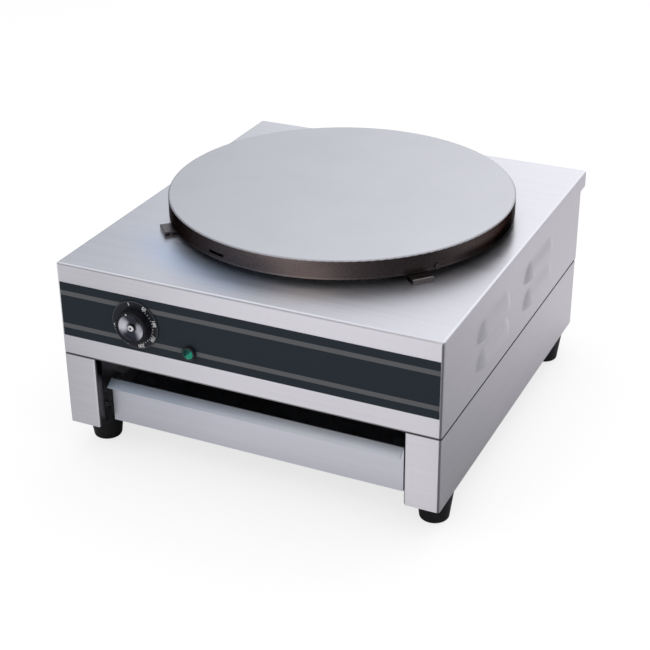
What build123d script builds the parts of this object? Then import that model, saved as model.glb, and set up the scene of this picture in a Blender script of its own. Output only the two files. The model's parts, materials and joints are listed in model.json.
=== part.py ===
from build123d import *
import os
from math import cos, sin, radians, degrees, hypot

# Electric crepe maker: a round cast-iron hotplate on a folded steel casing, over a base with a drawer.
# Millimetres. +Z is up, -Y is the front, +X is the right-hand side seen from the front.
# The origin is on the surface the feet stand on, under the middle of the bounding box.

# ---------------------------------------------------------------- driving dimensions

# Casing and base
body_width = 450.0
casing_depth = 470.0
casing_height = 110.0
base_height = 90.0
lip_overhang = 22.0
lip_drop = 20.0
sheet = 1.2
bend = 3.0
floor_sheet = 2.0
floor_inset = 1.5
flange_width = 14.0
stub_width = 40.0
stub_return = 12.0

# Hotplate
plate_radius = 200.0
plate_thickness = 23.0
plate_web = 14.0
plate_rim_width = 12.0
plate_lift = 6.0
plate_front_gap = 55.5
opening_radius = 184.0
rim_slot_length = 22.0
rim_slot_height = 3.5
rim_slot_angle = -108.0
set_screw_angle = -35.4
set_screw_height = 4.0

# Brackets that carry the rim of the hotplate
bracket_strip = 1.5
bracket_width = 24.0
bracket_reach = 12.5
bracket_angles = (-42.0, 42.0, 138.0, -138.0)
rivet_radius = 2.0

# Burner under the hotplate
element_radius = 4.25
inner_ring_radius = 85.0
outer_ring_radius = 150.0
element_bend = 12.0
element_leg = 38.0
element_half_gap = 21.0
clamp_disc_thickness = 2.0
clamp_disc_radius = 168.0
insulation_thickness = 20.0
pan_radius = 176.0
pan_sheet = 1.0
stud_radius = 3.0
stud_circle = 118.0
stud_depth = 8.0
bulb_radius = 3.2
bulb_length = 90.0
capillary_radius = 1.0

# Control panel
overlay_height = 65.0
overlay_thickness = 0.5
dial_from_left = 97.5
dial_outer_radius = 28.5
dial_inner_radius = 18.5
dial_thickness = 1.5
knob_radius = 20.0
knob_height = 9.5
knob_gap = 0.5
knob_wall = 2.0
knob_flutes = 36
cap_rim_height = 0.8
cap_plug_depth = 3.5
spindle_radius = 3.0
thermostat_size = 42.0
thermostat_depth = 32.0
bushing_radius = 5.0
thermostat_screw_pitch = 28.0
lamp_from_left = 163.0
lamp_below_top = 75.0
lamp_bezel_radius = 8.0
lamp_bezel_height = 4.5
lens_radius = 6.0
lens_height = 5.0

# Side louvres
louvre_length = 110.0
louvre_height = 23.0
louvre_depth = 4.5
louvre_rows = (28.0, 61.0)
louvre_columns = (97.0, 252.0)

# Drawer
drawer_recess = 18.5
drawer_side_gap = 7.5
drawer_base_gap = 3.0
drawer_front_height = 56.0
drawer_sheet = 1.2
pull_lip_reach = 10.5
pull_lip_fall = 9.0
drawer_return = 10.0
tray_width = 346.0
tray_height = 44.0
tray_sheet = 1.0
tray_rear_gap = 6.0
runner_sheet = 1.2
runner_ledge = 14.0
runner_start = 24.0

# Feet
foot_height = 35.0
foot_top_radius = 20.5
foot_bottom_radius = 16.0
foot_side_inset = 20.5
foot_end_inset = 42.0
foot_pocket_radius = 8.0
foot_pocket_depth = 20.0

# Rear panel
vent_count = 11
vent_pitch = 16.0
vent_length = 44.0
vent_width = 5.0
vent_first_x = -110.0
vent_above_floor = 60.0
rear_screw_margin = 22.0

# Cable gland and wiring
gland_x = 150.0
gland_above_floor = 32.0
gland_thread_radius = 10.0
gland_hex = 24.0
gland_flange = 5.0
gland_cap_length = 14.5
lock_nut_hex = 26.0
lock_nut_height = 4.0
seal_bore_radius = 5.25
seal_wall = 1.7
seal_length = 10.0
terminal_x = 150.0
terminal_from_rear = 75.0
terminal_length = 48.0
terminal_width = 22.0
terminal_height = 18.0
terminal_pitch = 14.0
terminal_row = 12.0
terminal_hole = 2.6
terminal_depth = 10.0
wire_radius = 1.3
cutout_x = 60.0
cutout_from_axis = 30.0
cutout_radius = 9.0
cutout_height = 9.0
tab_length = 8.0

# Fasteners
m4_radius = 2.0
m5_radius = 2.5
m6_radius = 3.0
assembly_from_ends = 90.0
flange_screw_inset = 8.0

# Fits
seat_gap = 0.1
free_gap = 0.3
hole_gap = 0.2
thread_gap = 0.05
runner_gap = 0.5

# ---------------------------------------------------------------- derived places

half_width = body_width / 2
knob_reach = overlay_thickness + dial_thickness + knob_gap + knob_height
front = (knob_reach - casing_depth - lip_overhang) / 2
rear = front + casing_depth
lip_rear = rear + lip_overhang

base_bottom = foot_height
casing_bottom = base_bottom + base_height
base_top = casing_bottom - floor_sheet
casing_top = casing_bottom + casing_height
inner_half = half_width - sheet

plate_bottom = casing_top + plate_lift
plate_top = plate_bottom + plate_thickness
plate_recess = plate_top - plate_web
plate_y = front + plate_front_gap + plate_radius

dial_x = -half_width + dial_from_left
dial_z = casing_top - casing_height / 2
lamp_x = -half_width + lamp_from_left
lamp_z = casing_top - lamp_below_top
overlay_face = front - overlay_thickness

element_z = plate_recess - seat_gap - element_radius
clamp_top = element_z - element_radius - seat_gap
insulation_top = clamp_top - clamp_disc_thickness
insulation_bottom = insulation_top - insulation_thickness
pan_bottom = insulation_bottom - pan_sheet

stub_inner = half_width - stub_width
drawer_face = front + drawer_recess
drawer_bottom = base_bottom + drawer_base_gap
drawer_half = stub_inner - drawer_side_gap
tray_half = tray_width / 2
tray_bottom = drawer_bottom + runner_sheet + free_gap
tray_front = drawer_face + drawer_sheet
tray_rear = rear - 2 * sheet - tray_rear_gap

seal_y = rear + 3.0
gland_z = casing_bottom + gland_above_floor
gland_bore = seal_bore_radius + seal_wall + thread_gap
terminal_y = rear - terminal_from_rear

FRONT = (0, -1, 0)
BACK = (0, 1, 0)
UP = (0, 0, 1)
DOWN = (0, 0, -1)
ON_BASE = (Align.CENTER, Align.CENTER, Align.MIN)

# ---------------------------------------------------------------- helpers


def block(x, y, z):
    """A box between the low and high ends given for each axis."""
    middle = [(low + high) / 2 for low, high in (x, y, z)]
    size = [high - low for low, high in (x, y, z)]
    return Pos(*middle) * Box(*size)


def rod(radius, start, direction, length):
    """A solid cylinder that grows from start along direction."""
    return Plane(origin=start, z_dir=direction) * Cylinder(radius, length, align=ON_BASE)


def pipe(outer, inner, start, direction, length):
    """A cylinder with a hole right through it."""
    return rod(outer, start, direction, length) - rod(inner, start, direction, length)


def hexagon(across_flats, start, direction, length):
    """A hexagonal prism, as a nut or a spanner flange."""
    outline = RegularPolygon(across_flats / 2, 6, major_radius=False)
    return extrude(Plane(origin=start, z_dir=direction) * outline, amount=length)


def nut(across_flats, thread_radius, start, direction, length):
    return hexagon(across_flats, start, direction, length) - rod(
        thread_radius + thread_gap, start, direction, length
    )


def along(start, direction, distance):
    """The point that lies at a distance from start along direction."""
    return tuple(s + d * distance for s, d in zip(start, direction))


def screw(shank_radius, head_radius, head_height, seat, direction, length):
    """A pan-head screw whose head stands on seat and whose shank goes along direction."""
    backwards = tuple(-d for d in direction)
    head = rod(head_radius, seat, backwards, head_height)
    rim = head.edges().sort_by(Axis(seat, backwards))[-1]
    return fillet(rim, head_height * 0.45) + rod(shank_radius, seat, direction, length)


def both_sides(shape):
    """The shape and its mirror image on the other side of the machine."""
    return [shape, mirror(shape, about=Plane.YZ)]


def on_plate(radius, angle, z):
    """A point at a radius and angle about the axis of the hotplate."""
    return (radius * cos(radians(angle)), plate_y + radius * sin(radians(angle)), z)


def round_wire(radius, points, largest_bend):
    """A round bar that follows a path of straight runs joined by tangent arcs."""
    runs = [(Vector(*b) - Vector(*a)).length for a, b in zip(points, points[1:])]
    bends = [min(largest_bend, 0.3 * min(a, b)) for a, b in zip(runs, runs[1:])]
    path = FilletPolyline(*points, radius=bends)
    start = Plane(origin=path @ 0, z_dir=path % 0)
    return sweep(start * Circle(radius), path=path)


def pick(shape, axis, test):
    """The straight edges of shape that run along axis and whose middle passes the test."""
    return [e for e in shape.edges().filter_by(axis) if test(e.center())]


def near(a, b):
    return abs(a - b) < 0.01


# ---------------------------------------------------------------- casing


def hood(inset):
    """The form of one louvre hood, less inset all over, with its open lower edge along +Y.

    The hood swells out of the wall's face, which is the plane X = 0, and each of its ends is a
    quarter turn of the same section.
    """
    section = Plane.XZ * make_face(
        Polyline(
            (-inset, louvre_height),
            (-sheet - inset, louvre_height),
            (-sheet - inset, 0),
            (louvre_depth - inset, 0),
        )
        + ThreePointArc(
            (louvre_depth - inset, 0),
            (0.7 * louvre_depth - inset, 0.5 * louvre_height),
            (-inset, louvre_height),
        )
    )
    straight = louvre_length - 2 * louvre_height
    front_end = revolve(section, axis=Axis.X, revolution_arc=90)
    rear_end = Pos(0, straight, 0) * mirror(front_end, about=Plane.XZ)
    return extrude(section, amount=-straight) + front_end + rear_end


def louvre_places():
    """The inner end of each hood's open edge, on the face of the right-hand wall."""
    return [
        (half_width, front + column + louvre_height, casing_top - row - louvre_height)
        for column in louvre_columns
        for row in louvre_rows
    ]


def panel_holes(depth_from, depth):
    """The holes for the thermostat bushing, its screws and the lamp, through the front panel."""
    holes = rod(bushing_radius + free_gap, (dial_x, depth_from, dial_z), BACK, depth)
    for side in (-1, 1):
        screw_x = dial_x + side * thermostat_screw_pitch / 2
        holes += rod(m4_radius + hole_gap, (screw_x, depth_from, dial_z), BACK, depth)
    return holes + rod(lens_radius + hole_gap, (lamp_x, depth_from, lamp_z), BACK, depth)


def assembly_points():
    """Where the six screws join the cover, the floor and the base channels."""
    x = half_width - flange_screw_inset
    rows = (front + assembly_from_ends, (front + rear) / 2, rear - assembly_from_ends)
    return [(side * x, y) for side in (-1, 1) for y in rows]


def assembly_holes():
    holes = [
        rod(m5_radius + hole_gap, (x, y, base_top - 5.0), UP, 15.0)
        for x, y in assembly_points()
    ]
    return Compound(holes)


def rear_screw_points():
    x = half_width - flange_screw_inset
    rows = (casing_bottom + rear_screw_margin, casing_top - rear_screw_margin)
    return [(side * x, z) for side in (-1, 1) for z in rows]


def make_top_cover():
    """Top, front and side walls in one folded sheet, with the overhanging lip at the rear."""
    side_view = Polyline(
        (front, casing_bottom),
        (front, casing_top),
        (lip_rear, casing_top),
        (lip_rear, casing_top - lip_drop),
        (rear, casing_top - lip_drop),
        (rear, casing_bottom),
        close=True,
    )
    outer = extrude(Plane.YZ * make_face(side_view), amount=half_width, both=True)
    folds = (
        pick(outer, Axis.X, lambda c: near(c.Z, casing_top))
        + pick(outer, Axis.Y, lambda c: near(c.Z, casing_top))
        + pick(outer, Axis.Z, lambda c: near(c.Y, front) or near(c.Y, lip_rear))
    )
    outer = fillet(folds, bend)

    inner = block(
        (-inner_half, inner_half),
        (front + sheet, lip_rear - sheet),
        (casing_bottom - 1.0, casing_top - sheet),
    )
    inner_folds = (
        pick(inner, Axis.X, lambda c: near(c.Z, casing_top - sheet))
        + pick(inner, Axis.Y, lambda c: near(c.Z, casing_top - sheet))
        + pick(inner, Axis.Z, lambda c: True)
    )
    cover = outer - fillet(inner_folds, bend - sheet)

    flange_rear = rear - 2 * sheet
    ledge = block((-inner_half, inner_half), (front, flange_rear), (casing_bottom, casing_bottom + sheet))
    window = block(
        (-half_width + flange_width, half_width - flange_width),
        (front + flange_width, rear),
        (casing_bottom - 1.0, casing_top),
    )
    cover += (ledge & outer) - window
    for wall in both_sides(
        block(
            (half_width - flange_width, inner_half),
            (flange_rear, rear - sheet),
            (casing_bottom, casing_top - sheet - bend),
        )
    ):
        cover += wall

    for place in louvre_places():
        for swelling in both_sides(Pos(*place) * hood(0.0)):
            cover += swelling
        for hollow in both_sides(Pos(*place) * hood(sheet)):
            cover -= hollow

    cover -= rod(opening_radius, (0, plate_y, casing_top - 10.0), UP, 20.0)
    cover -= panel_holes(front - 5.0, 10.0)
    cover -= assembly_holes()
    for x, z in rear_screw_points():
        cover -= rod(m4_radius + hole_gap, (x, rear - 10.0, z), BACK, 20.0)
    for place in rivet_places():
        cover -= rod(rivet_radius + hole_gap, along(place, DOWN, 5.0), UP, 10.0)
    return cover


def make_rear_panel():
    """The sheet that closes the back, with vent slots and the hole for the cable gland."""
    panel = block(
        (-inner_half + free_gap, inner_half - free_gap),
        (rear - sheet, rear),
        (casing_bottom, casing_top - sheet - free_gap),
    )
    panel = fillet(pick(panel, Axis.Y, lambda c: c.Z > casing_bottom + 10.0), bend - sheet)
    foot = block(
        (-half_width + flange_width + 2.0, half_width - flange_width - 2.0),
        (rear - flange_width, rear),
        (casing_bottom, casing_bottom + sheet),
    )
    panel += foot
    slot = Plane.XZ * SlotOverall(vent_length, vent_width, rotation=90)
    for i in range(vent_count):
        place = Pos(vent_first_x + vent_pitch * i, rear + 5.0, casing_bottom + vent_above_floor)
        panel -= place * extrude(slot, amount=10.0)
    for x, z in rear_screw_points():
        panel -= rod(m4_radius + hole_gap, (x, rear - 10.0, z), BACK, 20.0)
    return panel - rod(gland_thread_radius + hole_gap, (gland_x, rear - 10.0, gland_z), BACK, 20.0)


def make_casing_floor():
    """The plate between casing and base; its edge is the dark line round the machine."""
    plate = block(
        (-half_width + floor_inset, half_width - floor_inset),
        (front + floor_inset, rear - floor_inset),
        (base_top, casing_bottom),
    )
    return plate - assembly_holes()


# ---------------------------------------------------------------- base


def foot_points():
    x = half_width - foot_side_inset
    ends = {"front": front + foot_end_inset, "rear": rear - foot_end_inset}
    sides = {"left": -x, "right": x}
    return {f"{end}_{side}": (sides[side], ends[end]) for end in ends for side in sides}


def make_base_channel():
    """The right-hand side of the base: outer wall, front and rear stubs, and the two flanges."""
    outer = block((stub_inner, half_width), (front, rear), (base_bottom, base_top))
    verticals = pick(outer, Axis.Z, lambda c: c.X > stub_inner + 1 or near(c.Y, front))
    toe = pick(outer, Axis.Y, lambda c: near(c.X, stub_inner) and near(c.Z, base_bottom))
    outer = fillet(verticals + toe, bend)
    hollow = block(
        (stub_inner + sheet, inner_half),
        (front + sheet, rear - sheet),
        (base_bottom + sheet, base_top - sheet),
    )
    hollow = fillet(pick(hollow, Axis.Z, lambda c: c.X > stub_inner + 5), bend - sheet)
    mouth = block(
        (stub_inner - 1.0, stub_inner + sheet + 1.0),
        (front + stub_return, rear - sheet),
        (base_bottom + sheet, base_top - sheet),
    )
    channel = outer - hollow - mouth - assembly_holes()
    for x, y in foot_points().values():
        if x > 0:
            channel -= rod(m6_radius + hole_gap, (x, y, base_bottom - 1.0), UP, 5.0)
    return channel


def make_base_rear_panel():
    """Closes the back of the drawer bay, lapped inside the rear stubs."""
    lap = 12.0
    return block(
        (-stub_inner - lap, stub_inner + lap),
        (rear - 2 * sheet, rear - sheet),
        (base_bottom + sheet, base_top - sheet),
    )


def make_foot():
    """A tapered rubber foot with a pocket for the screw head, standing at the origin."""
    body = Cone(foot_bottom_radius, foot_top_radius, foot_height, align=ON_BASE)
    bottom_edge = body.edges().sort_by(Axis.Z)[0]
    body = fillet(bottom_edge, 3.0)
    body -= rod(foot_pocket_radius, (0, 0, -1.0), UP, foot_pocket_depth + 1.0)
    return body - rod(m6_radius + hole_gap, (0, 0, 0), UP, foot_height + 1.0)


# ---------------------------------------------------------------- drawer


def make_drawer_front():
    """The front sheet of the drawer, folded over at the top into a sloping pull lip."""
    top = drawer_bottom + drawer_front_height
    run = pull_lip_reach + drawer_sheet
    slope_length = hypot(run, pull_lip_fall)
    step_y = drawer_sheet * pull_lip_fall / slope_length
    step_z = drawer_sheet * run / slope_length
    lip_end = (drawer_face - pull_lip_reach, top - pull_lip_fall)
    lip_under = (lip_end[0] + step_y, lip_end[1] - step_z)
    meets_face = lip_under[1] + (drawer_face - lip_under[0]) * pull_lip_fall / run
    profile = Polyline(
        (drawer_face, drawer_bottom),
        (drawer_face + drawer_sheet, drawer_bottom),
        (drawer_face + drawer_sheet, top),
        lip_end,
        lip_under,
        (drawer_face, meets_face),
        close=True,
    )
    body = extrude(Plane.YZ * make_face(profile), amount=drawer_half, both=True)
    fold = pick(body, Axis.X, lambda c: near(c.Z, top))
    body = fillet(fold, drawer_sheet)
    lip_edges = pick(body, Axis.X, lambda c: c.Y < lip_under[0] + 0.01)
    body = fillet(lip_edges, 0.4 * drawer_sheet)
    for wing in both_sides(
        block(
            (drawer_half - drawer_sheet, drawer_half),
            (drawer_face, drawer_face + drawer_return),
            (drawer_bottom, top - 6.0),
        )
    ):
        body += wing
    return body


def make_drawer_tray():
    """The open pan behind the drawer front."""
    outer = block((-tray_half, tray_half), (tray_front, tray_rear), (tray_bottom, tray_bottom + tray_height))
    low_edges = outer.edges().filter_by(Axis.X) + outer.edges().filter_by(Axis.Y)
    outer = fillet([e for e in low_edges if near(e.center().Z, tray_bottom)], 2.5)
    inner = block(
        (-tray_half + tray_sheet, tray_half - tray_sheet),
        (tray_front + tray_sheet, tray_rear - tray_sheet),
        (tray_bottom + tray_sheet, tray_bottom + tray_height + 1.0),
    )
    low_edges = inner.edges().filter_by(Axis.X) + inner.edges().filter_by(Axis.Y)
    inner = fillet([e for e in low_edges if near(e.center().Z, tray_bottom + tray_sheet)], 1.5)
    return outer - inner


def runner_web():
    """The X range of the right-hand runner's upright web."""
    inner = tray_half + runner_gap
    return inner, inner + runner_sheet


def make_runner():
    """The right-hand C-shaped runner: the tray slides on its ledge and under its top lip."""
    web_inner, web_outer = runner_web()
    top = tray_bottom + tray_height + 2.0 + runner_sheet
    y_range = (front + runner_start, rear - 2 * sheet)
    section = block((web_inner - runner_ledge, web_outer), y_range, (drawer_bottom, top))
    hollow = block(
        (web_inner - runner_ledge - 1.0, web_inner),
        (y_range[0] - 1.0, y_range[1] + 1.0),
        (drawer_bottom + runner_sheet, top - runner_sheet),
    )
    return section - hollow


def make_runner_brackets():
    """Four folded brackets that tie the runners to the side walls."""
    web_outer = runner_web()[1]
    thickness = 1.5
    wing = 12.0
    z_range = (base_bottom + 12.0, base_bottom + 42.0)
    brackets = []
    for y in (front + 100.0, rear - 100.0):
        bracket = block((web_outer, inner_half), (y, y + thickness), z_range)
        bracket += block((web_outer, web_outer + thickness), (y, y + wing), z_range)
        bracket += block((inner_half - thickness, inner_half), (y, y + wing), z_range)
        brackets += both_sides(bracket)
    return Compound(brackets)


# ---------------------------------------------------------------- hotplate and burner


def stud_points(z):
    return [on_plate(stud_circle, angle, z) for angle in (30, 150, 270)]


def element_ends(ring_radius, reach):
    """The two points that lie at a distance past the ends of a ring, along its tangent, and the
    tangent's angle there."""
    points = []
    for side in (-1, 1):
        angle = -90.0 + side * degrees(element_half_gap / ring_radius)
        x, y, z = on_plate(ring_radius, angle, element_z)
        x += side * sin(radians(angle)) * reach
        y -= side * cos(radians(angle)) * reach
        points.append((x, y, angle + 90.0))
    return points


def leg_points(ring_radius):
    """The two points where the legs of a ring element go down."""
    return [(x, y) for x, y, angle in element_ends(ring_radius, element_bend)]


def capillary_drop():
    """The point where the capillary goes down through the burner."""
    return (-bulb_length / 2 - 16.0, plate_y + 25.0)


def burner_holes(z_low, z_high):
    """The holes that studs, element legs and the capillary need through a disc of the burner."""
    length = z_high - z_low
    holes = [rod(stud_radius + free_gap, point, UP, length) for point in stud_points(z_low)]
    slot = SlotCenterToCenter(element_bend, 2 * (element_radius + 1.5))
    for ring_radius in (inner_ring_radius, outer_ring_radius):
        for x, y, angle in element_ends(ring_radius, element_bend / 2):
            holes.append(Location((x, y, z_low), (0, 0, angle)) * extrude(slot, amount=length))
    x, y = capillary_drop()
    holes.append(rod(3.0, (x, y, z_low), UP, length))
    return Compound(holes)


def make_griddle_plate():
    """The cast-iron plate: a thick disc with a deeper rim, a slot and a screw hole in the rim."""
    body = rod(plate_radius, (0, plate_y, plate_bottom), UP, plate_thickness)
    rims = body.edges().filter_by(GeomType.CIRCLE).sort_by(Axis.Z)
    body = fillet(rims[-1], 1.5)
    rims = body.edges().filter_by(GeomType.CIRCLE).sort_by(Axis.Z)
    body = chamfer(rims[0], 1.0)
    recess_radius = plate_radius - plate_rim_width
    body -= rod(recess_radius, (0, plate_y, plate_bottom - 1.0), UP, plate_recess - plate_bottom + 1.0)
    slot = Box(8.0, rim_slot_length, rim_slot_height)
    slot_place = Location(on_plate(plate_radius, rim_slot_angle, casing_top + 13.5), (0, 0, rim_slot_angle))
    body -= slot_place * slot
    outward = on_plate(1.0, set_screw_angle, 0)
    outward = (outward[0], outward[1] - plate_y, 0)
    start = on_plate(recess_radius - 5.0, set_screw_angle, plate_bottom + set_screw_height)
    body -= rod(m4_radius + thread_gap, start, outward, plate_rim_width + 10.0)
    for point in stud_points(plate_recess - 1.0):
        body -= rod(stud_radius + thread_gap, point, UP, stud_depth + 1.0)
    return body


def make_set_screw():
    """The screw in the side of the rim, its round head standing proud of it."""
    outward = on_plate(1.0, set_screw_angle, 0)
    inward = (-outward[0], plate_y - outward[1], 0)
    seat = on_plate(plate_radius, set_screw_angle, plate_bottom + set_screw_height)
    return screw(m4_radius, 3.2, 2.0, seat, inward, plate_rim_width - 1.0)


def make_bracket():
    """One rim bracket on the +X side of the hotplate axis, which is at the origin here."""
    outer = plate_radius + bracket_reach
    inner = plate_radius - plate_rim_width - 1.0
    half = bracket_width / 2
    body = block((inner, outer), (-half, half), (0, plate_lift))
    fold = pick(body, Axis.Y, lambda c: near(c.X, outer))
    body = fillet(fold, bracket_strip - 0.2)
    body -= block(
        (inner - 1.0, outer - bracket_strip),
        (-half - 1.0, half + 1.0),
        (bracket_strip, plate_lift - bracket_strip),
    )
    foot_end = plate_radius - 4.0
    body -= block((inner - 1.0, foot_end), (-half - 1.0, half + 1.0), (-1.0, bracket_strip))
    for y in (-half / 2, half / 2):
        body -= rod(rivet_radius + hole_gap, (outer - 9.5, y, -1.0), UP, bracket_strip + 2.0)
    return body


def on_bracket(angle):
    """The location that carries a shape from the bracket's own frame to its angle on the casing."""
    return Location((0, plate_y, casing_top), (0, 0, angle))


def rivet_places():
    radius = plate_radius + bracket_reach - 9.5
    places = []
    for angle in bracket_angles:
        for side in (-bracket_width / 4, bracket_width / 4):
            spot = on_bracket(angle) * Pos(radius, side, 0)
            places.append(tuple(spot.position))
    return places


def make_bracket_rivets():
    head = 1.1
    rivets = []
    for place in rivet_places():
        low = along(place, DOWN, sheet)
        body = rod(rivet_radius, low, UP, sheet + bracket_strip)
        body += rod(3.6, along(place, UP, bracket_strip), UP, head)
        body += rod(3.6, low, DOWN, head)
        rivets.append(body)
    return Compound(rivets)


def make_element(ring_radius):
    """One ring of sheathed element whose two ends bend down and end in thin terminal pins."""
    legs = leg_points(ring_radius)
    ends = [(x, y, element_z) for x, y, angle in element_ends(ring_radius, 0.0)]
    far_side = (0, plate_y + ring_radius, element_z)
    bend_z = element_z - element_bend
    foot_z = element_z - element_leg
    first, last = [(x, y) for x, y in legs]
    leg_a = Line((*first, foot_z), (*first, bend_z))
    bend_a = TangentArc((*first, bend_z), ends[0], tangent=UP)
    ring = ThreePointArc(ends[0], far_side, ends[1])
    bend_b = TangentArc((*last, bend_z), ends[1], tangent=UP)
    leg_b = Line((*last, foot_z), (*last, bend_z))
    path = Wire([leg_a, bend_a, ring, bend_b, leg_b])
    bar = sweep(Plane(origin=(*first, foot_z), z_dir=UP) * Circle(element_radius), path=path)
    for x, y in legs:
        bar += rod(1.6, (x, y, foot_z), DOWN, 9.0)
    return bar


def make_clamp_disc():
    disc = rod(clamp_disc_radius, (0, plate_y, insulation_top), UP, clamp_disc_thickness)
    return disc - burner_holes(insulation_top - 1.0, clamp_top + 1.0)


def make_insulation():
    radius = pan_radius - pan_sheet - free_gap
    disc = rod(radius, (0, plate_y, insulation_bottom), UP, insulation_thickness)
    return disc - burner_holes(insulation_bottom - 1.0, insulation_top + 1.0)


def make_burner_pan():
    """The round pan that holds the insulation and whose rim meets the underside of the plate."""
    height = plate_recess - seat_gap - pan_bottom
    pan = rod(pan_radius, (0, plate_y, pan_bottom), UP, height)
    low_edge = pan.edges().filter_by(GeomType.CIRCLE).sort_by(Axis.Z)[0]
    pan = fillet(low_edge, 0.8)
    pan -= rod(pan_radius - pan_sheet, (0, plate_y, insulation_bottom), UP, height)
    return pan - burner_holes(pan_bottom - 1.0, insulation_bottom + 1.0)


def make_plate_studs():
    length = plate_recess + stud_depth - seat_gap - pan_bottom + 9.0
    return Compound([rod(stud_radius, p, UP, length) for p in stud_points(pan_bottom - 9.0)])


def make_plate_nuts():
    nuts = [nut(10.0, stud_radius, p, DOWN, 5.0) for p in stud_points(pan_bottom)]
    return Compound(nuts)


def make_capillary():
    """The thermostat's sensing bulb under the plate, and the fine tube that joins it."""
    bulb_z = plate_recess - seat_gap - bulb_radius
    x_drop, y_drop = capillary_drop()
    bulb = rod(bulb_radius, (-bulb_length / 2, y_drop, bulb_z), (1, 0, 0), bulb_length)
    body_back = front + sheet + thermostat_depth
    points = [
        (-bulb_length / 2, y_drop, bulb_z),
        (x_drop, y_drop, bulb_z),
        (x_drop, y_drop, pan_bottom - 18.0),
        (dial_x + 10.0, front + 120.0, dial_z),
        (dial_x + 10.0, body_back + 40.0, dial_z + 8.0),
        (dial_x + 10.0, body_back, dial_z + 8.0),
    ]
    return bulb + round_wire(capillary_radius, points, 30.0)


def make_thermal_cutout():
    """A snap-disc cut-out under the burner pan."""
    place = (cutout_x, plate_y + cutout_from_axis, pan_bottom)
    body = rod(cutout_radius, place, DOWN, cutout_height)
    body += block(
        (place[0] - cutout_radius - 3.0, place[0] + cutout_radius + 3.0),
        (place[1] - 5.0, place[1] + 5.0),
        (pan_bottom - 1.0, pan_bottom),
    )
    tab_top = pan_bottom - cutout_height
    for x in (-4.0, 4.0):
        body += block(
            (place[0] + x - 0.4, place[0] + x + 0.4),
            (place[1] - 3.0, place[1] + 3.0),
            (tab_top - tab_length, tab_top),
        )
    return body


# ---------------------------------------------------------------- controls


def make_overlay():
    strip = block(
        (-half_width + bend, half_width - bend),
        (overlay_face, front),
        (dial_z - overlay_height / 2, dial_z + overlay_height / 2),
    )
    return strip - panel_holes(overlay_face - 1.0, 5.0)


def make_dial_ring():
    ring = rod(dial_outer_radius, (dial_x, overlay_face, dial_z), FRONT, dial_thickness)
    outer_edge = ring.edges().filter_by(GeomType.CIRCLE).sort_by(Axis.Y)[0]
    ring = chamfer(outer_edge, 0.5)
    return ring - rod(dial_inner_radius, (dial_x, overlay_face + 1.0, dial_z), FRONT, 5.0)


def knob_base():
    return overlay_face - dial_thickness - knob_gap


def make_knob_body():
    """The black knob: a fluted flank, a hollow back with a boss, and a seat for the cap."""
    back = (dial_x, knob_base(), dial_z)
    height = knob_height - cap_rim_height
    body = Plane(origin=back, z_dir=FRONT) * Cone(knob_radius, knob_radius - 0.6, height, align=ON_BASE)
    flute_radius = 0.9
    for i in range(knob_flutes):
        angle = radians(360.0 * i / knob_flutes)
        reach = knob_radius + 0.25
        spot = (dial_x + reach * cos(angle), knob_base() + 1.0, dial_z + reach * sin(angle))
        body -= rod(flute_radius, spot, FRONT, height + 2.0)
    body -= rod(
        knob_radius - knob_wall, along(back, BACK, 1.0), FRONT, height - cap_plug_depth - 1.2 + 1.0
    )
    body += rod(bushing_radius + 1.5, along(back, FRONT, 0.6), FRONT, height - cap_plug_depth - 1.2)
    body -= rod(spindle_radius + thread_gap, along(back, BACK, 1.0), FRONT, 6.0)
    seat = along(back, FRONT, height - cap_plug_depth)
    return body - rod(knob_radius - 3.7 + seat_gap, seat, FRONT, cap_plug_depth + 1.0)


def make_knob_cap():
    """The bright cap: a rolled rim round a shallow dish with a stub at its centre."""
    plug_radius = knob_radius - 3.7
    rim_radius = knob_radius - 0.8
    dish_bottom = -2.7
    stub_radius = 3.4
    outline = (
        Polyline(
            (0, -cap_plug_depth),
            (plug_radius, -cap_plug_depth),
            (plug_radius, 0),
            (rim_radius, 0),
        )
        + ThreePointArc((rim_radius, 0), (rim_radius - 1.6, cap_rim_height), (rim_radius - 3.6, 0))
        + ThreePointArc((rim_radius - 3.6, 0), (10.5, dish_bottom + 0.5), (stub_radius + 1.2, dish_bottom))
        + Polyline(
            (stub_radius + 1.2, dish_bottom),
            (stub_radius, 0.2),
            (1.3, 0.5),
            (1.1, -1.0),
            (0, -1.0),
            (0, -cap_plug_depth),
        )
    )
    body = revolve(Plane.XZ * make_face(outline), axis=Axis.Z)
    height = knob_height - cap_rim_height
    return Plane(origin=along((dial_x, knob_base(), dial_z), FRONT, height), z_dir=FRONT) * body


def spindle_end():
    return knob_base() - (knob_height - cap_rim_height - cap_plug_depth - 1.2)


def make_thermostat_body():
    half = thermostat_size / 2
    inner_face = front + sheet
    body = block(
        (dial_x - half, dial_x + half),
        (inner_face, inner_face + thermostat_depth),
        (dial_z - half, dial_z + half),
    )
    body = fillet(body.edges().filter_by(Axis.Y), 3.0)
    body += rod(bushing_radius, (dial_x, inner_face, dial_z), FRONT, sheet + overlay_thickness + 0.8)
    body -= rod(spindle_radius + thread_gap, (dial_x, inner_face + 14.0, dial_z), FRONT, 30.0)
    for side in (-1, 1):
        screw_x = dial_x + side * thermostat_screw_pitch / 2
        body -= rod(m4_radius + thread_gap, (screw_x, inner_face - 1.0, dial_z), BACK, 9.0)
    for side in (-1, 1):
        tab_x = dial_x + side * 8.0
        body += block(
            (tab_x - 3.0, tab_x + 3.0),
            (inner_face + thermostat_depth, inner_face + thermostat_depth + tab_length),
            (dial_z - 10.4, dial_z - 9.6),
        )
    return body


def make_spindle():
    """The thermostat spindle, which turns with the knob."""
    start = (dial_x, front + sheet + 14.0 - free_gap, dial_z)
    return rod(spindle_radius, start, FRONT, start[1] - spindle_end())


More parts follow.
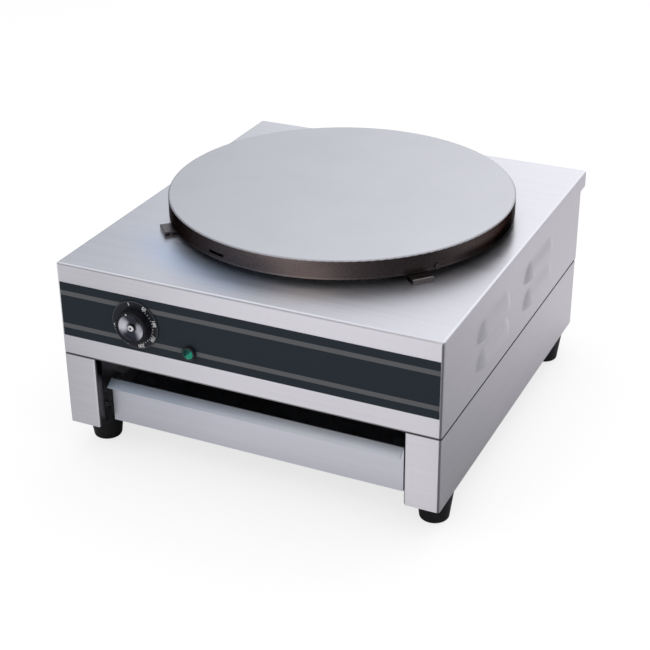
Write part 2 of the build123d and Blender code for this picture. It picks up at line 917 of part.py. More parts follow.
def make_thermostat_screws():
    screws = []
    for side in (-1, 1):
        seat = (dial_x + side * thermostat_screw_pitch / 2, overlay_face, dial_z)
        screws.append(screw(m4_radius, 3.2, 1.6, seat, BACK, overlay_thickness + sheet + 7.0))
    return Compound(screws)


def make_lamp_bezel():
    """A round black bezel with a hollow threaded barrel through the panel."""
    seat = (lamp_x, overlay_face, lamp_z)
    body = rod(lamp_bezel_radius, seat, FRONT, lamp_bezel_height)
    body = fillet(body.edges().filter_by(GeomType.CIRCLE).sort_by(Axis.Y)[0], 1.0)
    body += rod(lens_radius, seat, BACK, 14.0)
    body -= rod(lens_radius - 1.2, (lamp_x, overlay_face - 10.0, lamp_z), BACK, 40.0)
    return body - rod(lens_radius + seat_gap, along(seat, FRONT, 1.0), FRONT, 10.0)


def make_lamp_lens():
    """A faceted green lens: a short round base and an eight-sided point."""
    seat = (lamp_x, overlay_face - 1.0, lamp_z)
    base_height = lamp_bezel_height - 1.0
    body = rod(lens_radius, seat, FRONT, base_height)
    point_base = Plane(origin=along(seat, FRONT, base_height), z_dir=FRONT)
    return body + extrude(point_base * RegularPolygon(lens_radius, 8), amount=lens_height, taper=42)


def make_lamp_holder():
    """The neon holder inside the barrel, with two tabs at the back."""
    radius = lens_radius - 1.2 - seat_gap
    body = rod(radius, (lamp_x, overlay_face - 1.0, lamp_z), BACK, 22.0)
    for side in (-1, 1):
        x = lamp_x + side * 2.4
        y = overlay_face + 21.0
        body += block((x - 0.4, x + 0.4), (y, y + 7.0), (lamp_z - 2.0, lamp_z + 2.0))
    return body


def make_lamp_nut():
    return nut(17.0, lens_radius, (lamp_x, front + sheet, lamp_z), BACK, 3.0)


# ---------------------------------------------------------------- supply side


def make_gland_body():
    """The gland body: a threaded barrel through the rear panel and a hexagonal flange outside."""
    body = hexagon(gland_hex, (gland_x, rear, gland_z), BACK, gland_flange)
    inner_end = rear - sheet - lock_nut_height - 5.0
    body += rod(gland_thread_radius, (gland_x, inner_end, gland_z), BACK, sheet + 9.0 + 13.0)
    return body - rod(gland_bore, (gland_x, rear - 20.0, gland_z), BACK, 60.0)


def make_gland_lock_nut():
    seat = (gland_x, rear - sheet, gland_z)
    return nut(lock_nut_hex, gland_thread_radius, seat, FRONT, lock_nut_height)


def make_gland_seal():
    outer = seal_bore_radius + seal_wall
    return pipe(outer, seal_bore_radius, (gland_x, seal_y, gland_z), BACK, seal_length)


def make_gland_dome_nut():
    """The cap that squeezes the seal on the cord; the cord would come out of its mouth."""
    length = gland_cap_length
    start = (gland_x, rear + gland_flange, gland_z)
    body = rod(gland_hex / 2, start, BACK, length)
    mouth_edge = body.edges().filter_by(GeomType.CIRCLE).sort_by(Axis.Y)[-1]
    body = fillet(mouth_edge, 3.5)
    flats = hexagon(gland_hex - 1.4, start, BACK, 8.0)
    upper = rod(gland_hex / 2, along(start, BACK, 8.0), BACK, length)
    body = body & (flats + upper)
    body -= rod(gland_thread_radius + thread_gap, start, BACK, 8.5)
    return body - rod(seal_bore_radius + 0.75, start, BACK, length + 1.0)


def terminal_points():
    """The clamp screws' places: one row for each side of the block, one column for each way."""
    columns = [terminal_x + terminal_pitch * i for i in (-1, 0, 1)]
    return [(x, terminal_y + side * terminal_row / 2) for x in columns for side in (-1, 1)]


def make_terminal_block():
    """A three-way block on the floor, with a clamp hole over each way."""
    body = block(
        (terminal_x - terminal_length / 2, terminal_x + terminal_length / 2),
        (terminal_y - terminal_width / 2, terminal_y + terminal_width / 2),
        (casing_bottom, casing_bottom + terminal_height),
    )
    body = fillet(body.edges().filter_by(Axis.Z), 2.0)
    hole_bottom = casing_bottom + terminal_height - terminal_depth
    for x, y in terminal_points():
        body -= rod(terminal_hole, (x, y, hole_bottom), UP, terminal_height)
    return body


def make_terminal_screws():
    radius = terminal_hole - hole_gap
    hole_bottom = casing_bottom + terminal_height - terminal_depth
    height = 0.6 * terminal_depth
    return Compound([rod(radius, (x, y, hole_bottom), UP, height) for x, y in terminal_points()])


def make_earth_stud():
    """The earth stud on the floor, with its nut."""
    place = (terminal_x + 40.0, terminal_y - 25.0, casing_bottom)
    stud = rod(5.0, place, UP, sheet) + rod(m5_radius, place, UP, 16.0)
    return stud + hexagon(8.0, along(place, UP, sheet), UP, 4.0)


def make_internal_wires():
    """The short wires inside the casing, each from one terminal to another."""
    low = casing_bottom + 22.0
    tab_y = front + sheet + thermostat_depth + tab_length
    tab_z = dial_z - 10.0
    inner_legs = leg_points(inner_ring_radius)
    outer_legs = leg_points(outer_ring_radius)
    pin_z = element_z - element_leg - 9.0
    terminals = terminal_points()
    live, neutral = terminals[0], terminals[2]
    cutout = (cutout_x, plate_y + cutout_from_axis, pan_bottom - cutout_height - tab_length)
    block_top = casing_bottom + terminal_height - 0.4 * terminal_depth
    routes = [
        [(*live, block_top), (*live, block_top + 30.0), (-20.0, rear - 60.0, low + 8.0),
         (dial_x - 8.0, tab_y + 70.0, low + 12.0), (dial_x - 8.0, tab_y + 30.0, tab_z),
         (dial_x - 8.0, tab_y, tab_z)],
        [(dial_x + 8.0, tab_y, tab_z), (dial_x + 8.0, tab_y + 30.0, tab_z),
         (cutout[0] - 4.0, cutout[1], pin_z - 45.0), (cutout[0] - 4.0, cutout[1], cutout[2])],
        [(cutout[0] + 4.0, cutout[1], cutout[2]), (cutout[0] + 4.0, cutout[1], cutout[2] - 35.0),
         (inner_legs[1][0], inner_legs[1][1], pin_z - 30.0), (*inner_legs[1], pin_z)],
        [(*neutral, block_top), (*neutral, block_top + 26.0), (40.0, plate_y + 60.0, low),
         (outer_legs[1][0], outer_legs[1][1], pin_z - 40.0), (*outer_legs[1], pin_z)],
        [(*outer_legs[0], pin_z), (outer_legs[0][0], outer_legs[0][1], pin_z - 20.0),
         (inner_legs[0][0], inner_legs[0][1], pin_z - 20.0), (*inner_legs[0], pin_z)],
    ]
    return Compound([round_wire(wire_radius, route, 18.0) for route in routes])


# ---------------------------------------------------------------- fasteners


def make_assembly_screws():
    length = sheet + floor_sheet + sheet + 6.0
    seats = [(x, y, base_top - sheet) for x, y in assembly_points()]
    return Compound([screw(m5_radius, 4.8, 2.8, seat, UP, length) for seat in seats])


def make_assembly_nuts():
    seats = [(x, y, casing_bottom + sheet) for x, y in assembly_points()]
    return Compound([nut(8.0, m5_radius, seat, UP, 4.0) for seat in seats])


def make_rear_screws():
    seats = [(x, rear, z) for x, z in rear_screw_points()]
    return Compound([screw(m4_radius, 4.0, 2.4, seat, FRONT, 2 * sheet + 6.0) for seat in seats])


def foot_stack(make):
    return Compound([Pos(x, y, 0) * make() for x, y in foot_points().values()])


def make_foot_washer():
    washer = pipe(7.4, m6_radius + hole_gap, (0, 0, foot_pocket_depth - 1.6), UP, 1.6)
    return washer


def make_foot_screw():
    seat = (0, 0, foot_pocket_depth - 1.6)
    length = base_bottom - seat[2] + sheet + 7.0
    return screw(m6_radius, 6.0, 4.0, seat, UP, length)


def make_foot_nut():
    return nut(10.0, m6_radius, (0, 0, base_bottom + sheet), UP, 5.0)


# ---------------------------------------------------------------- assembly

parts = {
    "top_cover": make_top_cover(),
    "rear_panel": make_rear_panel(),
    "casing_floor": make_casing_floor(),
    "base_rear_panel": make_base_rear_panel(),
    "drawer_front": make_drawer_front(),
    "drawer_tray": make_drawer_tray(),
    "runner_brackets": make_runner_brackets(),
    "griddle_plate": make_griddle_plate(),
    "plate_set_screw": make_set_screw(),
    "plate_brackets": Compound([on_bracket(a) * make_bracket() for a in bracket_angles]),
    "bracket_rivets": make_bracket_rivets(),
    "inner_element": make_element(inner_ring_radius),
    "outer_element": make_element(outer_ring_radius),
    "clamp_disc": make_clamp_disc(),
    "insulation_disc": make_insulation(),
    "burner_pan": make_burner_pan(),
    "plate_studs": make_plate_studs(),
    "plate_nuts": make_plate_nuts(),
    "sensing_capillary": make_capillary(),
    "thermal_cutout": make_thermal_cutout(),
    "control_overlay": make_overlay(),
    "dial_ring": make_dial_ring(),
    "knob_body": make_knob_body(),
    "knob_cap": make_knob_cap(),
    "thermostat_body": make_thermostat_body(),
    "thermostat_spindle": make_spindle(),
    "thermostat_screws": make_thermostat_screws(),
    "lamp_bezel": make_lamp_bezel(),
    "lamp_lens": make_lamp_lens(),
    "lamp_holder": make_lamp_holder(),
    "lamp_nut": make_lamp_nut(),
    "gland_body": make_gland_body(),
    "gland_lock_nut": make_gland_lock_nut(),
    "gland_seal": make_gland_seal(),
    "gland_dome_nut": make_gland_dome_nut(),
    "terminal_block": make_terminal_block(),
    "terminal_screws": make_terminal_screws(),
    "earth_stud": make_earth_stud(),
    "internal_wires": make_internal_wires(),
    "assembly_screws": make_assembly_screws(),
    "assembly_nuts": make_assembly_nuts(),
    "rear_panel_screws": make_rear_screws(),
    "foot_screws": foot_stack(make_foot_screw),
    "foot_washers": foot_stack(make_foot_washer),
    "foot_nuts": foot_stack(make_foot_nut),
}

for name, shape in {"base_channel": make_base_channel(), "drawer_runner": make_runner()}.items():
    right, left = both_sides(shape)
    parts[f"{name}_right"] = right
    parts[f"{name}_left"] = left

for corner, (x, y) in foot_points().items():
    parts[f"foot_{corner}"] = Pos(x, y, 0) * make_foot()

os.makedirs("parts", exist_ok=True)
for name, shape in parts.items():
    export_step(shape, f"parts/{name}.step")
    print(name, len(shape.solids()), round(shape.volume))
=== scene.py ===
# %% [markdown]
# # An electric crepe maker
# A round iron hotplate sits on a folded steel casing. The casing stands on a base whose open bay
# holds a drawer, and a thermostat knob and a green lamp sit on a dark strip along its front.
# The solids come from a CAD model that is loaded here as a fixed frame. This lesson gives them
# their finish: smooth shading, print, screw heads, and a node material for every surface.

import json
import math

import bmesh
import bpy
from mathutils import Matrix, Vector


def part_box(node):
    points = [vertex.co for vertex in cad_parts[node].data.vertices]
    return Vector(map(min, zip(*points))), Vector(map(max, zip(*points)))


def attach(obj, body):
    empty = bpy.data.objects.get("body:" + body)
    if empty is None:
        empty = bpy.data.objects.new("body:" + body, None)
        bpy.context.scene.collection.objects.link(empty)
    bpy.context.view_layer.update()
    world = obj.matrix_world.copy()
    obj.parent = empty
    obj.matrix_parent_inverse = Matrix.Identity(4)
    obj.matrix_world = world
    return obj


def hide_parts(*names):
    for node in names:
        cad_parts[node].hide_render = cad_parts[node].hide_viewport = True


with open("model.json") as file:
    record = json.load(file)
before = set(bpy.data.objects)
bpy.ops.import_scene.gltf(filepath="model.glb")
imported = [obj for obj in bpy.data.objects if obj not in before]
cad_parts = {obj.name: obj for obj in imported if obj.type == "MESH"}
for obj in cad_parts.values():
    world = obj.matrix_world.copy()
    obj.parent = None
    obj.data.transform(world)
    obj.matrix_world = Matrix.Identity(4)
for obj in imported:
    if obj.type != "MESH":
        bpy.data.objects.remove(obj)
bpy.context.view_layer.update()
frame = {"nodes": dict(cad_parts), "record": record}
body_of_node = {
    node: body
    for body, nodes in frame["record"]["behaviour"]["bodies"].items()
    for node in nodes
}

# %% [markdown]
# ## Camera and studio
# A product like this is shot from above and to one side with a long lens, so that its straight
# edges stay nearly straight. The camera is placed by the angles of that view. The studio is a
# white room with soft lamps. The eye sees it white all round, but an even room would make brushed
# sheet look flat, so polished faces are given darker and lighter walls to reflect.


# %% A new object
def in_scene(name, data):
    """A new object that holds a mesh, a lamp, a camera or a text."""
    made = bpy.data.objects.new(name, data)
    bpy.context.scene.collection.objects.link(made)
    return made


# %% Camera
CAMERA_AT = Vector((0.65463, -1.42607, 0.91558))
CAMERA_TURN = math.radians(25.177)
CAMERA_DROP = math.radians(27.707)
CAMERA_ROLL = math.radians(-0.483)
CAMERA_LENS = 81.75

lens = bpy.data.cameras.new("product_lens")
lens.sensor_width = 36.0
lens.lens = CAMERA_LENS
lens.clip_end = 60.0
camera = in_scene("product_camera", lens)
turn = Matrix.Rotation(CAMERA_TURN, 4, "Z") @ Matrix.Rotation(math.pi / 2 - CAMERA_DROP, 4, "X")
camera.matrix_world = Matrix.Translation(CAMERA_AT) @ turn @ Matrix.Rotation(CAMERA_ROLL, 4, "Z")
bpy.context.scene.camera = camera
bpy.context.scene.view_settings.view_transform = "Standard"
print("camera", [round(v, 3) for v in CAMERA_AT], "lens", round(lens.lens, 2))


# %% Short ways to write a node
def add_node(tree, kind, inputs=None, **settings):
    """A node of a tree: an input is given a value, or is linked when it is given a socket."""
    made = tree.nodes.new(kind)
    for setting, value in settings.items():
        setattr(made, setting, value)
    for key, value in (inputs or {}).items():
        if isinstance(value, bpy.types.NodeSocket):
            tree.links.new(value, made.inputs[key])
        else:
            made.inputs[key].default_value = value
    return made


def node_on(kind, inputs, **settings):
    """The outputs of a node in the tree of the sockets that it is given."""
    tree = next(v.id_data for v in inputs.values() if isinstance(v, bpy.types.NodeSocket))
    return add_node(tree, kind, inputs, **settings).outputs


def sums(operation, *values):
    """The result of a math node."""
    return node_on("ShaderNodeMath", dict(enumerate(values)), operation=operation)[0]


def times(first, second):
    return sums("MULTIPLY", first, second)


def plus(first, second):
    return sums("ADD", first, second)


def less(first, second):
    return sums("SUBTRACT", first, second)


def split(vector):
    """The three numbers of a vector, by the names of its axes."""
    return node_on("ShaderNodeSeparateXYZ", {0: vector})


def joined(*numbers):
    """A vector made of up to three numbers."""
    return node_on("ShaderNodeCombineXYZ", dict(enumerate(numbers)))[0]


def spread(value, low, high, to_low=0.0, to_high=1.0, smooth=False):
    """A value taken from one range to another, held at its ends."""
    ends = {"From Min": low, "From Max": high, "To Min": to_low, "To Max": to_high}
    kind = "SMOOTHSTEP" if smooth else "LINEAR"
    inputs = {"Value": value, **ends}
    return node_on("ShaderNodeMapRange", inputs, interpolation_type=kind)["Result"]


def ease(value, low, high, to_low=0.0, to_high=1.0):
    """A spread that starts and ends gently."""
    return spread(value, low, high, to_low, to_high, smooth=True)


def blend(amount, first, second):
    """One number turning into another."""
    return node_on("ShaderNodeMix", {0: amount, 2: first, 3: second})[0]


def tinted(amount, first, second):
    """One colour turning into another."""
    ends = [(*c, 1.0) if isinstance(c, tuple) else c for c in (first, second)]
    inputs = {0: amount, 6: ends[0], 7: ends[1]}
    return node_on("ShaderNodeMix", inputs, data_type="RGBA")[2]


def toned(value, tone, *changes):
    """A colour that changes along a value. Each change says where it starts and ends, and to
    what tone it goes."""
    for low, high, next_tone in changes:
        tone = tinted(spread(value, low, high), tone, next_tone)
    return tone


def cloud(vector, scale, detail=3.0, roughness=0.5):
    """Soft noise from 0 to 1."""
    inputs = {"Vector": vector, "Scale": scale, "Detail": detail, "Roughness": roughness}
    return node_on("ShaderNodeTexNoise", inputs)["Fac"]


def empty_tree(owner):
    """The node tree of a material or a world, with nothing in it."""
    owner.use_nodes = True
    owner.node_tree.nodes.clear()
    return owner.node_tree


def kinds_of_ray(tree):
    """The light path's outputs, and whether a ray is one that sees the studio: straight, in a
    polished face, or through glass."""
    ray = add_node(tree, "ShaderNodeLightPath").outputs
    seen = sums("MAXIMUM", ray["Is Camera Ray"], ray["Is Glossy Ray"])
    return ray, sums("MAXIMUM", seen, ray["Is Transmission Ray"])


# %% [markdown]
# ### The room
# A direction in the room is a vector of length one, so its Z says how high it looks, and its X
# and Y say to which wall. The wall behind the machine, the wall behind the camera, the ceiling
# and two soft patches each have a tone. They only show in polished faces: the camera sees white,
# and as a light the room is even.

# %% World
BACK_LEFT = (0.19, 0.215, 0.26)
BACK_RIGHT = (1.25, 1.25, 1.29)
BACK_BRIGHTENS = math.radians(-43), math.radians(-8)
RIGHT_WALL = (0.10, 0.10, 0.11)
RIGHT_WALL_FROM = math.radians(16), math.radians(54)
OVERHEAD = (0.95, 0.97, 1.02)
ZENITH = (0.66, 0.68, 0.73)
BEHIND_CAMERA = (0.12, 0.125, 0.14)
EYE_LEVEL = (0.42, 0.41, 0.43)
WINDOW = (0.96, 0.90, 0.87)
WINDOW_TOWARDS = Vector((-0.03, -0.88, 0.47)).normalized()
LEFT_WALL = (0.50, 0.52, 0.56)
LEFT_TOWARDS = Vector((-0.90, -0.42, 0.12)).normalized()
PATCH_CORE = 0.985
ROOM_LIGHT = 0.55
WHITE = (1.0, 1.0, 1.0)

room = bpy.data.worlds.new("white_room")
tree = empty_tree(room)
way_out = add_node(tree, "ShaderNodeTexCoord").outputs["Generated"]
way = split(way_out)


def with_patch(wall, towards, edge, tone):
    """A wall with a soft round patch of another tone in one direction."""
    inputs = {0: way_out, 1: towards}
    near = node_on("ShaderNodeVectorMath", inputs, operation="DOT_PRODUCT")["Value"]
    return tinted(ease(near, edge, PATCH_CORE), wall, tone)


sideways = sums("ARCTAN2", way["X"], way["Y"])
brightens = ease(sideways, *BACK_BRIGHTENS)
back_wall = tinted(brightens, BACK_LEFT, BACK_RIGHT)
past_right = ease(sideways, *RIGHT_WALL_FROM)
back_wall = tinted(past_right, back_wall, RIGHT_WALL)
back_wall = toned(way["Z"], back_wall, (0.40, 0.72, OVERHEAD), (0.90, 0.98, ZENITH))
front_wall = toned(way["Z"], EYE_LEVEL, (0.26, 0.42, BEHIND_CAMERA))
front_wall = with_patch(front_wall, WINDOW_TOWARDS, 0.91, WINDOW)
front_wall = with_patch(front_wall, LEFT_TOWARDS, 0.90, LEFT_WALL)
front_wall = toned(way["Z"], front_wall, (0.62, 0.88, OVERHEAD))
to_back = ease(way["Y"], -0.25, 0.2)
mirrored = tinted(to_back, front_wall, back_wall)
ray, seen = kinds_of_ray(tree)
seen_colour = tinted(ray["Is Camera Ray"], mirrored, WHITE)
inputs = {"Color": (*WHITE, 1.0), "Strength": ROOM_LIGHT}
as_light = add_node(tree, "ShaderNodeBackground", inputs).outputs[0]
as_seen = node_on("ShaderNodeBackground", {"Color": seen_colour, "Strength": 1.0})[0]
both = node_on("ShaderNodeMixShader", {0: seen, 1: as_light, 2: as_seen})[0]
add_node(tree, "ShaderNodeOutputWorld", {"Surface": both})
bpy.context.scene.world = room
print("room made of", len(tree.nodes), "nodes, light", ROOM_LIGHT)

# %% [markdown]
# ### The lamps
# Three square softboxes give the light its direction: from the left of the camera, from above
# and, weakly, from the right. They don't show in polished faces, where a lamp would add its own
# brightness to the wall behind it.


# %% Lamps
def softbox(name, place, size, power):
    """A square lamp that is aimed at the machine."""
    lamp = bpy.data.lights.new(name, "AREA")
    lamp.shape = "SQUARE"
    lamp.size = size
    lamp.energy = power
    holder = in_scene(name, lamp)
    aim = (Vector((0, 0, 0.1)) - Vector(place)).to_track_quat("-Z", "Y").to_matrix().to_4x4()
    holder.matrix_world = Matrix.Translation(place) @ aim
    holder.visible_glossy = False


softbox("left_softbox", (-0.9, -2.4, 1.9), 3.4, 22)
softbox("top_softbox", (0.4, 0.8, 2.6), 3.4, 30)
softbox("right_softbox", (2.6, -0.9, 1.4), 1.6, 8)

# %% [markdown]
# ### The floor
# The floor is pale paper that takes the machine's shadow. What polished faces reflect of it is
# set apart from what the eye sees, as with the walls: its tone changes from left to right, in one
# way far out, in another nearer and in a third close to the front. Beside the right-hand wall it
# changes with the distance along that wall. Under the machine nothing is reflected.

# %% Floor
FLOOR_HALF = 14.0
FLOOR_Z = -0.0004
FLOOR_TONES = (0.82, 0.82, 0.83), (0.84, 0.84, 0.84)
FLOOR_SEEN = (0.73, 0.73, 0.73)
BODY_HALF_X = 0.225
BODY_HALF_Y = 0.240

floor_mesh = bpy.data.meshes.new("studio_floor")
signs = (-1, -1), (1, -1), (1, 1), (-1, 1)
corners = [(x * FLOOR_HALF, y * FLOOR_HALF, FLOOR_Z) for x, y in signs]
floor_mesh.from_pydata(corners, [], [(0, 1, 2, 3)])
floor = in_scene("studio_floor", floor_mesh)

paper = bpy.data.materials.new("studio_paper")
tree = empty_tree(paper)
spot = add_node(tree, "ShaderNodeTexCoord").outputs["Object"]
axes = split(spot)
across, along = axes["X"], axes["Y"]
print("floor", 2 * FLOOR_HALF, "m across")

# %% What polished faces reflect of the floor
far = toned(
    across, (0.16, 0.165, 0.18),
    (-0.43, -0.33, (0.54, 0.525, 0.555)),
    (-0.33, -0.05, (0.63, 0.61, 0.645)),
)
near = toned(
    across, (0.12, 0.125, 0.145),
    (-0.42, -0.28, (0.36, 0.35, 0.375)),
    (-0.28, -0.18, (0.42, 0.405, 0.44)),
    (-0.18, 0.03, (0.30, 0.295, 0.315)),
    (0.05, 0.12, (0.38, 0.365, 0.39)),
)
close = toned(
    across, (0.07, 0.075, 0.095),
    (-0.38, -0.08, (0.47, 0.455, 0.48)),
    (0.13, 0.17, (0.48, 0.465, 0.49)),
)
behind = (0.34, 0.335, 0.36)
before = toned(
    along, far, (-0.58, -0.50, near), (-0.44, -0.38, close), (0.1, 0.35, behind)
)
along_wall = plus(along, times(less(0.37, across), 0.8))
beside = toned(along_wall, (0.04, 0.04, 0.054), (-0.03, 0.42, (0.325, 0.30, 0.335)))
far_right = ease(across, 0.40, 0.75)
beside = tinted(far_right, beside, (0.06, 0.06, 0.07))
ahead = sums("MAXIMUM", less(-BODY_HALF_Y, along), 0.02)
past_corner = sums("DIVIDE", less(across, BODY_HALF_X), ahead)
round_corner = ease(past_corner, -0.26, -0.08)
mirrored = tinted(round_corner, before, beside)
far_left = ease(across, -0.47, -0.62)
mirrored = tinted(far_left, mirrored, (0.50, 0.50, 0.53))
# Painted shadow in reflections: under the machine the reflected floor is black.
beyond_x = less(sums("ABSOLUTE", across), BODY_HALF_X)
beyond_y = less(sums("ABSOLUTE", along), BODY_HALF_Y)
outside = ease(sums("MAXIMUM", beyond_x, beyond_y), -0.03, 0.06)
mirrored = tinted(outside, (0.0, 0.0, 0.0), mirrored)
print("reflected floor made of", len(tree.nodes), "nodes")

# %% The floor's shaders
ray, seen = kinds_of_ray(tree)
glow_colour = tinted(ray["Is Camera Ray"], mirrored, FLOOR_SEEN)
tone = tinted(cloud(spot, 90.0), *FLOOR_TONES)
matt = node_on("ShaderNodeBsdfDiffuse", {"Color": tone})[0]
# Painted shade in reflections: by the right front corner the matt part is dark to polished faces.
at_corner = ease(past_corner, -0.24, -0.06)
at_corner = times(at_corner, ease(along, -0.18, -0.26))
unlit = times(at_corner, ray["Is Glossy Ray"])
dull_tone = tinted(unlit, (0.33, 0.33, 0.33), (0.06, 0.06, 0.06))
dull = node_on("ShaderNodeBsdfDiffuse", {"Color": dull_tone})[0]
lit = node_on("ShaderNodeMixShader", {0: seen, 1: matt, 2: dull})[0]
glow = node_on("ShaderNodeEmission", {"Color": glow_colour, "Strength": seen})[0]
both = node_on("ShaderNodeAddShader", {0: lit, 1: glow})[0]
add_node(tree, "ShaderNodeOutputMaterial", {"Surface": both})
floor_mesh.materials.append(paper)
print("paper made of", len(tree.nodes), "nodes")

# %% [markdown]
# ## Finishes
# Each finish is one material built from nodes. They all read Object coordinates, which here are
# metres from the middle of the footprint, so a grain line or a speck has its real size.
# A colour or a number that is the same all over stays on the shader's own socket.


# %% The bare finish that the others start from
def plain_finish(name, colour, roughness, metallic=0.0, **sockets):
    """A material, its tree and its shader."""
    made = bpy.data.materials.new(name)
    tree = empty_tree(made)
    skin = add_node(tree, "ShaderNodeBsdfPrincipled")
    skin.inputs["Base Color"].default_value = (*colour, 1.0)
    skin.inputs["Roughness"].default_value = roughness
    skin.inputs["Metallic"].default_value = metallic
    for key, value in sockets.items():
        skin.inputs[key.replace("_", " ")].default_value = value
    add_node(tree, "ShaderNodeOutputMaterial", {"Surface": skin.outputs[0]})
    made.diffuse_color = (*colour, 1.0)
    return made, tree, skin


def place_on(tree, stretch=(1, 1, 1), shift=(0, 0, 0)):
    """Object coordinates, stretched: a large number packs a pattern tightly along that axis."""
    spot = add_node(tree, "ShaderNodeTexCoord").outputs["Object"]
    inputs = {"Vector": spot, "Scale": stretch, "Location": shift}
    return node_on("ShaderNodeMapping", inputs)[0]


def from_axis(axes, first, second):
    """The distance from an axis, by the two coordinates across it."""
    squares = [times(axes[name], axes[name]) for name in (first, second)]
    return sums("SQRT", plus(*squares))


def coat(skin, **results):
    """Links results to the shader's sockets of the same names."""
    for key, result in results.items():
        skin.id_data.links.new(result, skin.inputs[key.replace("_", " ")])


def raise_skin(skin, height, strength, distance):
    inputs = {"Height": height, "Strength": strength, "Distance": distance}
    coat(skin, Normal=node_on("ShaderNodeBump", inputs)[0])


def scaled(tone, *factors):
    """A colour times one factor, or times one for each of its channels."""
    factors = factors if len(factors) == 3 else factors * 3
    return tuple(c * k for c, k in zip(tone, factors))


# %% [markdown]
# ### Brushed stainless steel
# The sheet is rubbed in one direction at the mill. The marks are far longer than wide, so a noise
# is stretched along the rubbing and packed tightly across it. On the top and the front the marks
# run from side to side, and on the side walls they run from front to back. A second, broad noise
# leaves the faint clouding that wiping leaves. Rubbed steel also draws a reflection out across
# its marks, which is what the shader's anisotropy is for: its tangent points across them.

# %% Where the casing's sheet changes its tone
plate_low, plate_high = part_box("griddle_plate")
plate_middle = (plate_low + plate_high) / 2
plate_radius = (plate_high.x - plate_low.x) / 2
plate_top = plate_high.z
JOINT_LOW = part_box("base_channel_left")[1].z
JOINT_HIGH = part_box("top_cover")[0].z
BAY_HALF_X = 0.1868
TOP_ABOVE = 0.23
# How far from the plate's axis the painted bluish shade fades out.
BLUE_SHADE_REACH = 0.268, 0.210
print("joint between base and casing", round(JOINT_LOW, 4), "to", round(JOINT_HIGH, 4))


def upward_shade_tone(tree, tone, shown_tone, normal, axes):
    """Painted shade and light where the sheet looks up: darker on its left, paler on its right."""
    shade_blotches = cloud(place_on(tree, (1, 3, 3)), 26.0, 5.0, 0.65)
    upward_shade_amount = spread(normal["Z"], 0.2, 0.5)
    upward_shade_amount = times(upward_shade_amount, spread(shade_blotches, 0.3, 0.75, 1.0, 0.6))
    dark_end = scaled(tone, 0.64, 0.72, 0.79)
    pale_end = scaled(tone, 1.10, 1.10, 1.08)
    upward_shade_colour = tinted(spread(axes["X"], -0.14, 0.06), dark_end, pale_end)
    return tinted(upward_shade_amount, shown_tone, upward_shade_colour)


def joint_and_bay_shade_tone(tone, shown_tone, on_side, axes):
    """Painted shade in the joint of base and casing, and darker on the inner walls of the bay."""
    above = spread(axes["Z"], JOINT_LOW - 0.0009, JOINT_LOW - 0.0002)
    below = spread(axes["Z"], JOINT_HIGH + 0.0009, JOINT_HIGH + 0.0002)
    inside = sums("LESS_THAN", sums("ABSOLUTE", axes["X"]), BAY_HALF_X)
    inside = times(inside, sums("LESS_THAN", axes["Z"], JOINT_LOW))
    inside = times(inside, on_side)
    shown_tone = tinted(times(above, below), shown_tone, scaled(tone, 0.50))
    return tinted(inside, shown_tone, scaled(tone, 0.16))


def blue_shade_tone(tree, amount, shown_tone, axes):
    """Painted shade: the top sheet darker and bluer in front of the plate, on the left."""
    inputs = {0: place_on(tree, (1, 1, 0)), 1: (0, -plate_middle.y, 0)}
    centred = node_on("ShaderNodeVectorMath", inputs, operation="ADD")[0]
    out = node_on("ShaderNodeVectorMath", {0: centred}, operation="LENGTH")["Value"]
    blue_shade = ease(out, *BLUE_SHADE_REACH)
    in_front = ease(axes["Y"], -0.10, -0.19)
    in_front = times(in_front, ease(axes["X"], 0.05, -0.04))
    blue_shade = times(blue_shade, in_front)
    blue_shade = times(blue_shade, sums("GREATER_THAN", axes["Z"], TOP_ABOVE))
    blue_shade_colour = tinted(amount, (0.68, 0.79, 0.98), (0.71, 0.82, 1.0))
    return tinted(blue_shade, shown_tone, blue_shade_colour)


# %% Brushed steel
def rubbed(tree, on_side, length, packing, detail, roughness):
    """Noise drawn out along the rubbing, which runs front to back on the side walls."""
    across, along = (
        cloud(place_on(tree, stretch), 1.0, detail, roughness)
        for stretch in ((length, packing, packing), (packing, length, packing))
    )
    return blend(on_side, across, along)


def brushed_steel(
    name, tone, roughness, marks=0.035, cloudiness=0.03, drawn=0.0, shade_upward=False, casing=False
):
    made, tree, skin = plain_finish(name, tone, roughness, metallic=1.0)
    normal = split(add_node(tree, "ShaderNodeNewGeometry").outputs["Normal"])
    on_side = sums("GREATER_THAN", sums("ABSOLUTE", normal["X"]), 0.6)
    rub = rubbed(tree, on_side, 2.2, 1500, 4.0, 0.65)
    streak = rubbed(tree, on_side, 3.0, 330, 3.0, 0.6)
    wiped = cloud(place_on(tree), 5.0, 4.0, 0.55)
    light = plus(times(rub, 0.35), times(streak, 0.4))
    light = plus(light, times(wiped, 0.25))
    amount = spread(light, 0.3, 0.7)
    darker = scaled(tone, 1 - 2 * cloudiness)
    lighter = tuple(min(1.0, c) for c in scaled(tone, 1 + 2 * cloudiness))
    shown_tone = tinted(amount, darker, lighter)
    axes = split(place_on(tree))
    if shade_upward:
        shown_tone = upward_shade_tone(tree, tone, shown_tone, normal, axes)
    if casing:
        shown_tone = joint_and_bay_shade_tone(tone, shown_tone, on_side, axes)
        shown_tone = blue_shade_tone(tree, amount, shown_tone, axes)
    rough = spread(light, 0.3, 0.7, roughness - 0.05, roughness + 0.06)
    coat(skin, Base_Color=shown_tone, Roughness=rough)
    on_top = sums("GREATER_THAN", normal["Z"], 0.6)
    across_marks = joined(0, on_top, less(1.0, on_top))
    coat(skin, Tangent=across_marks)
    skin.inputs["Anisotropic"].default_value = drawn
    raise_skin(skin, rub, marks, 0.0006)
    return made


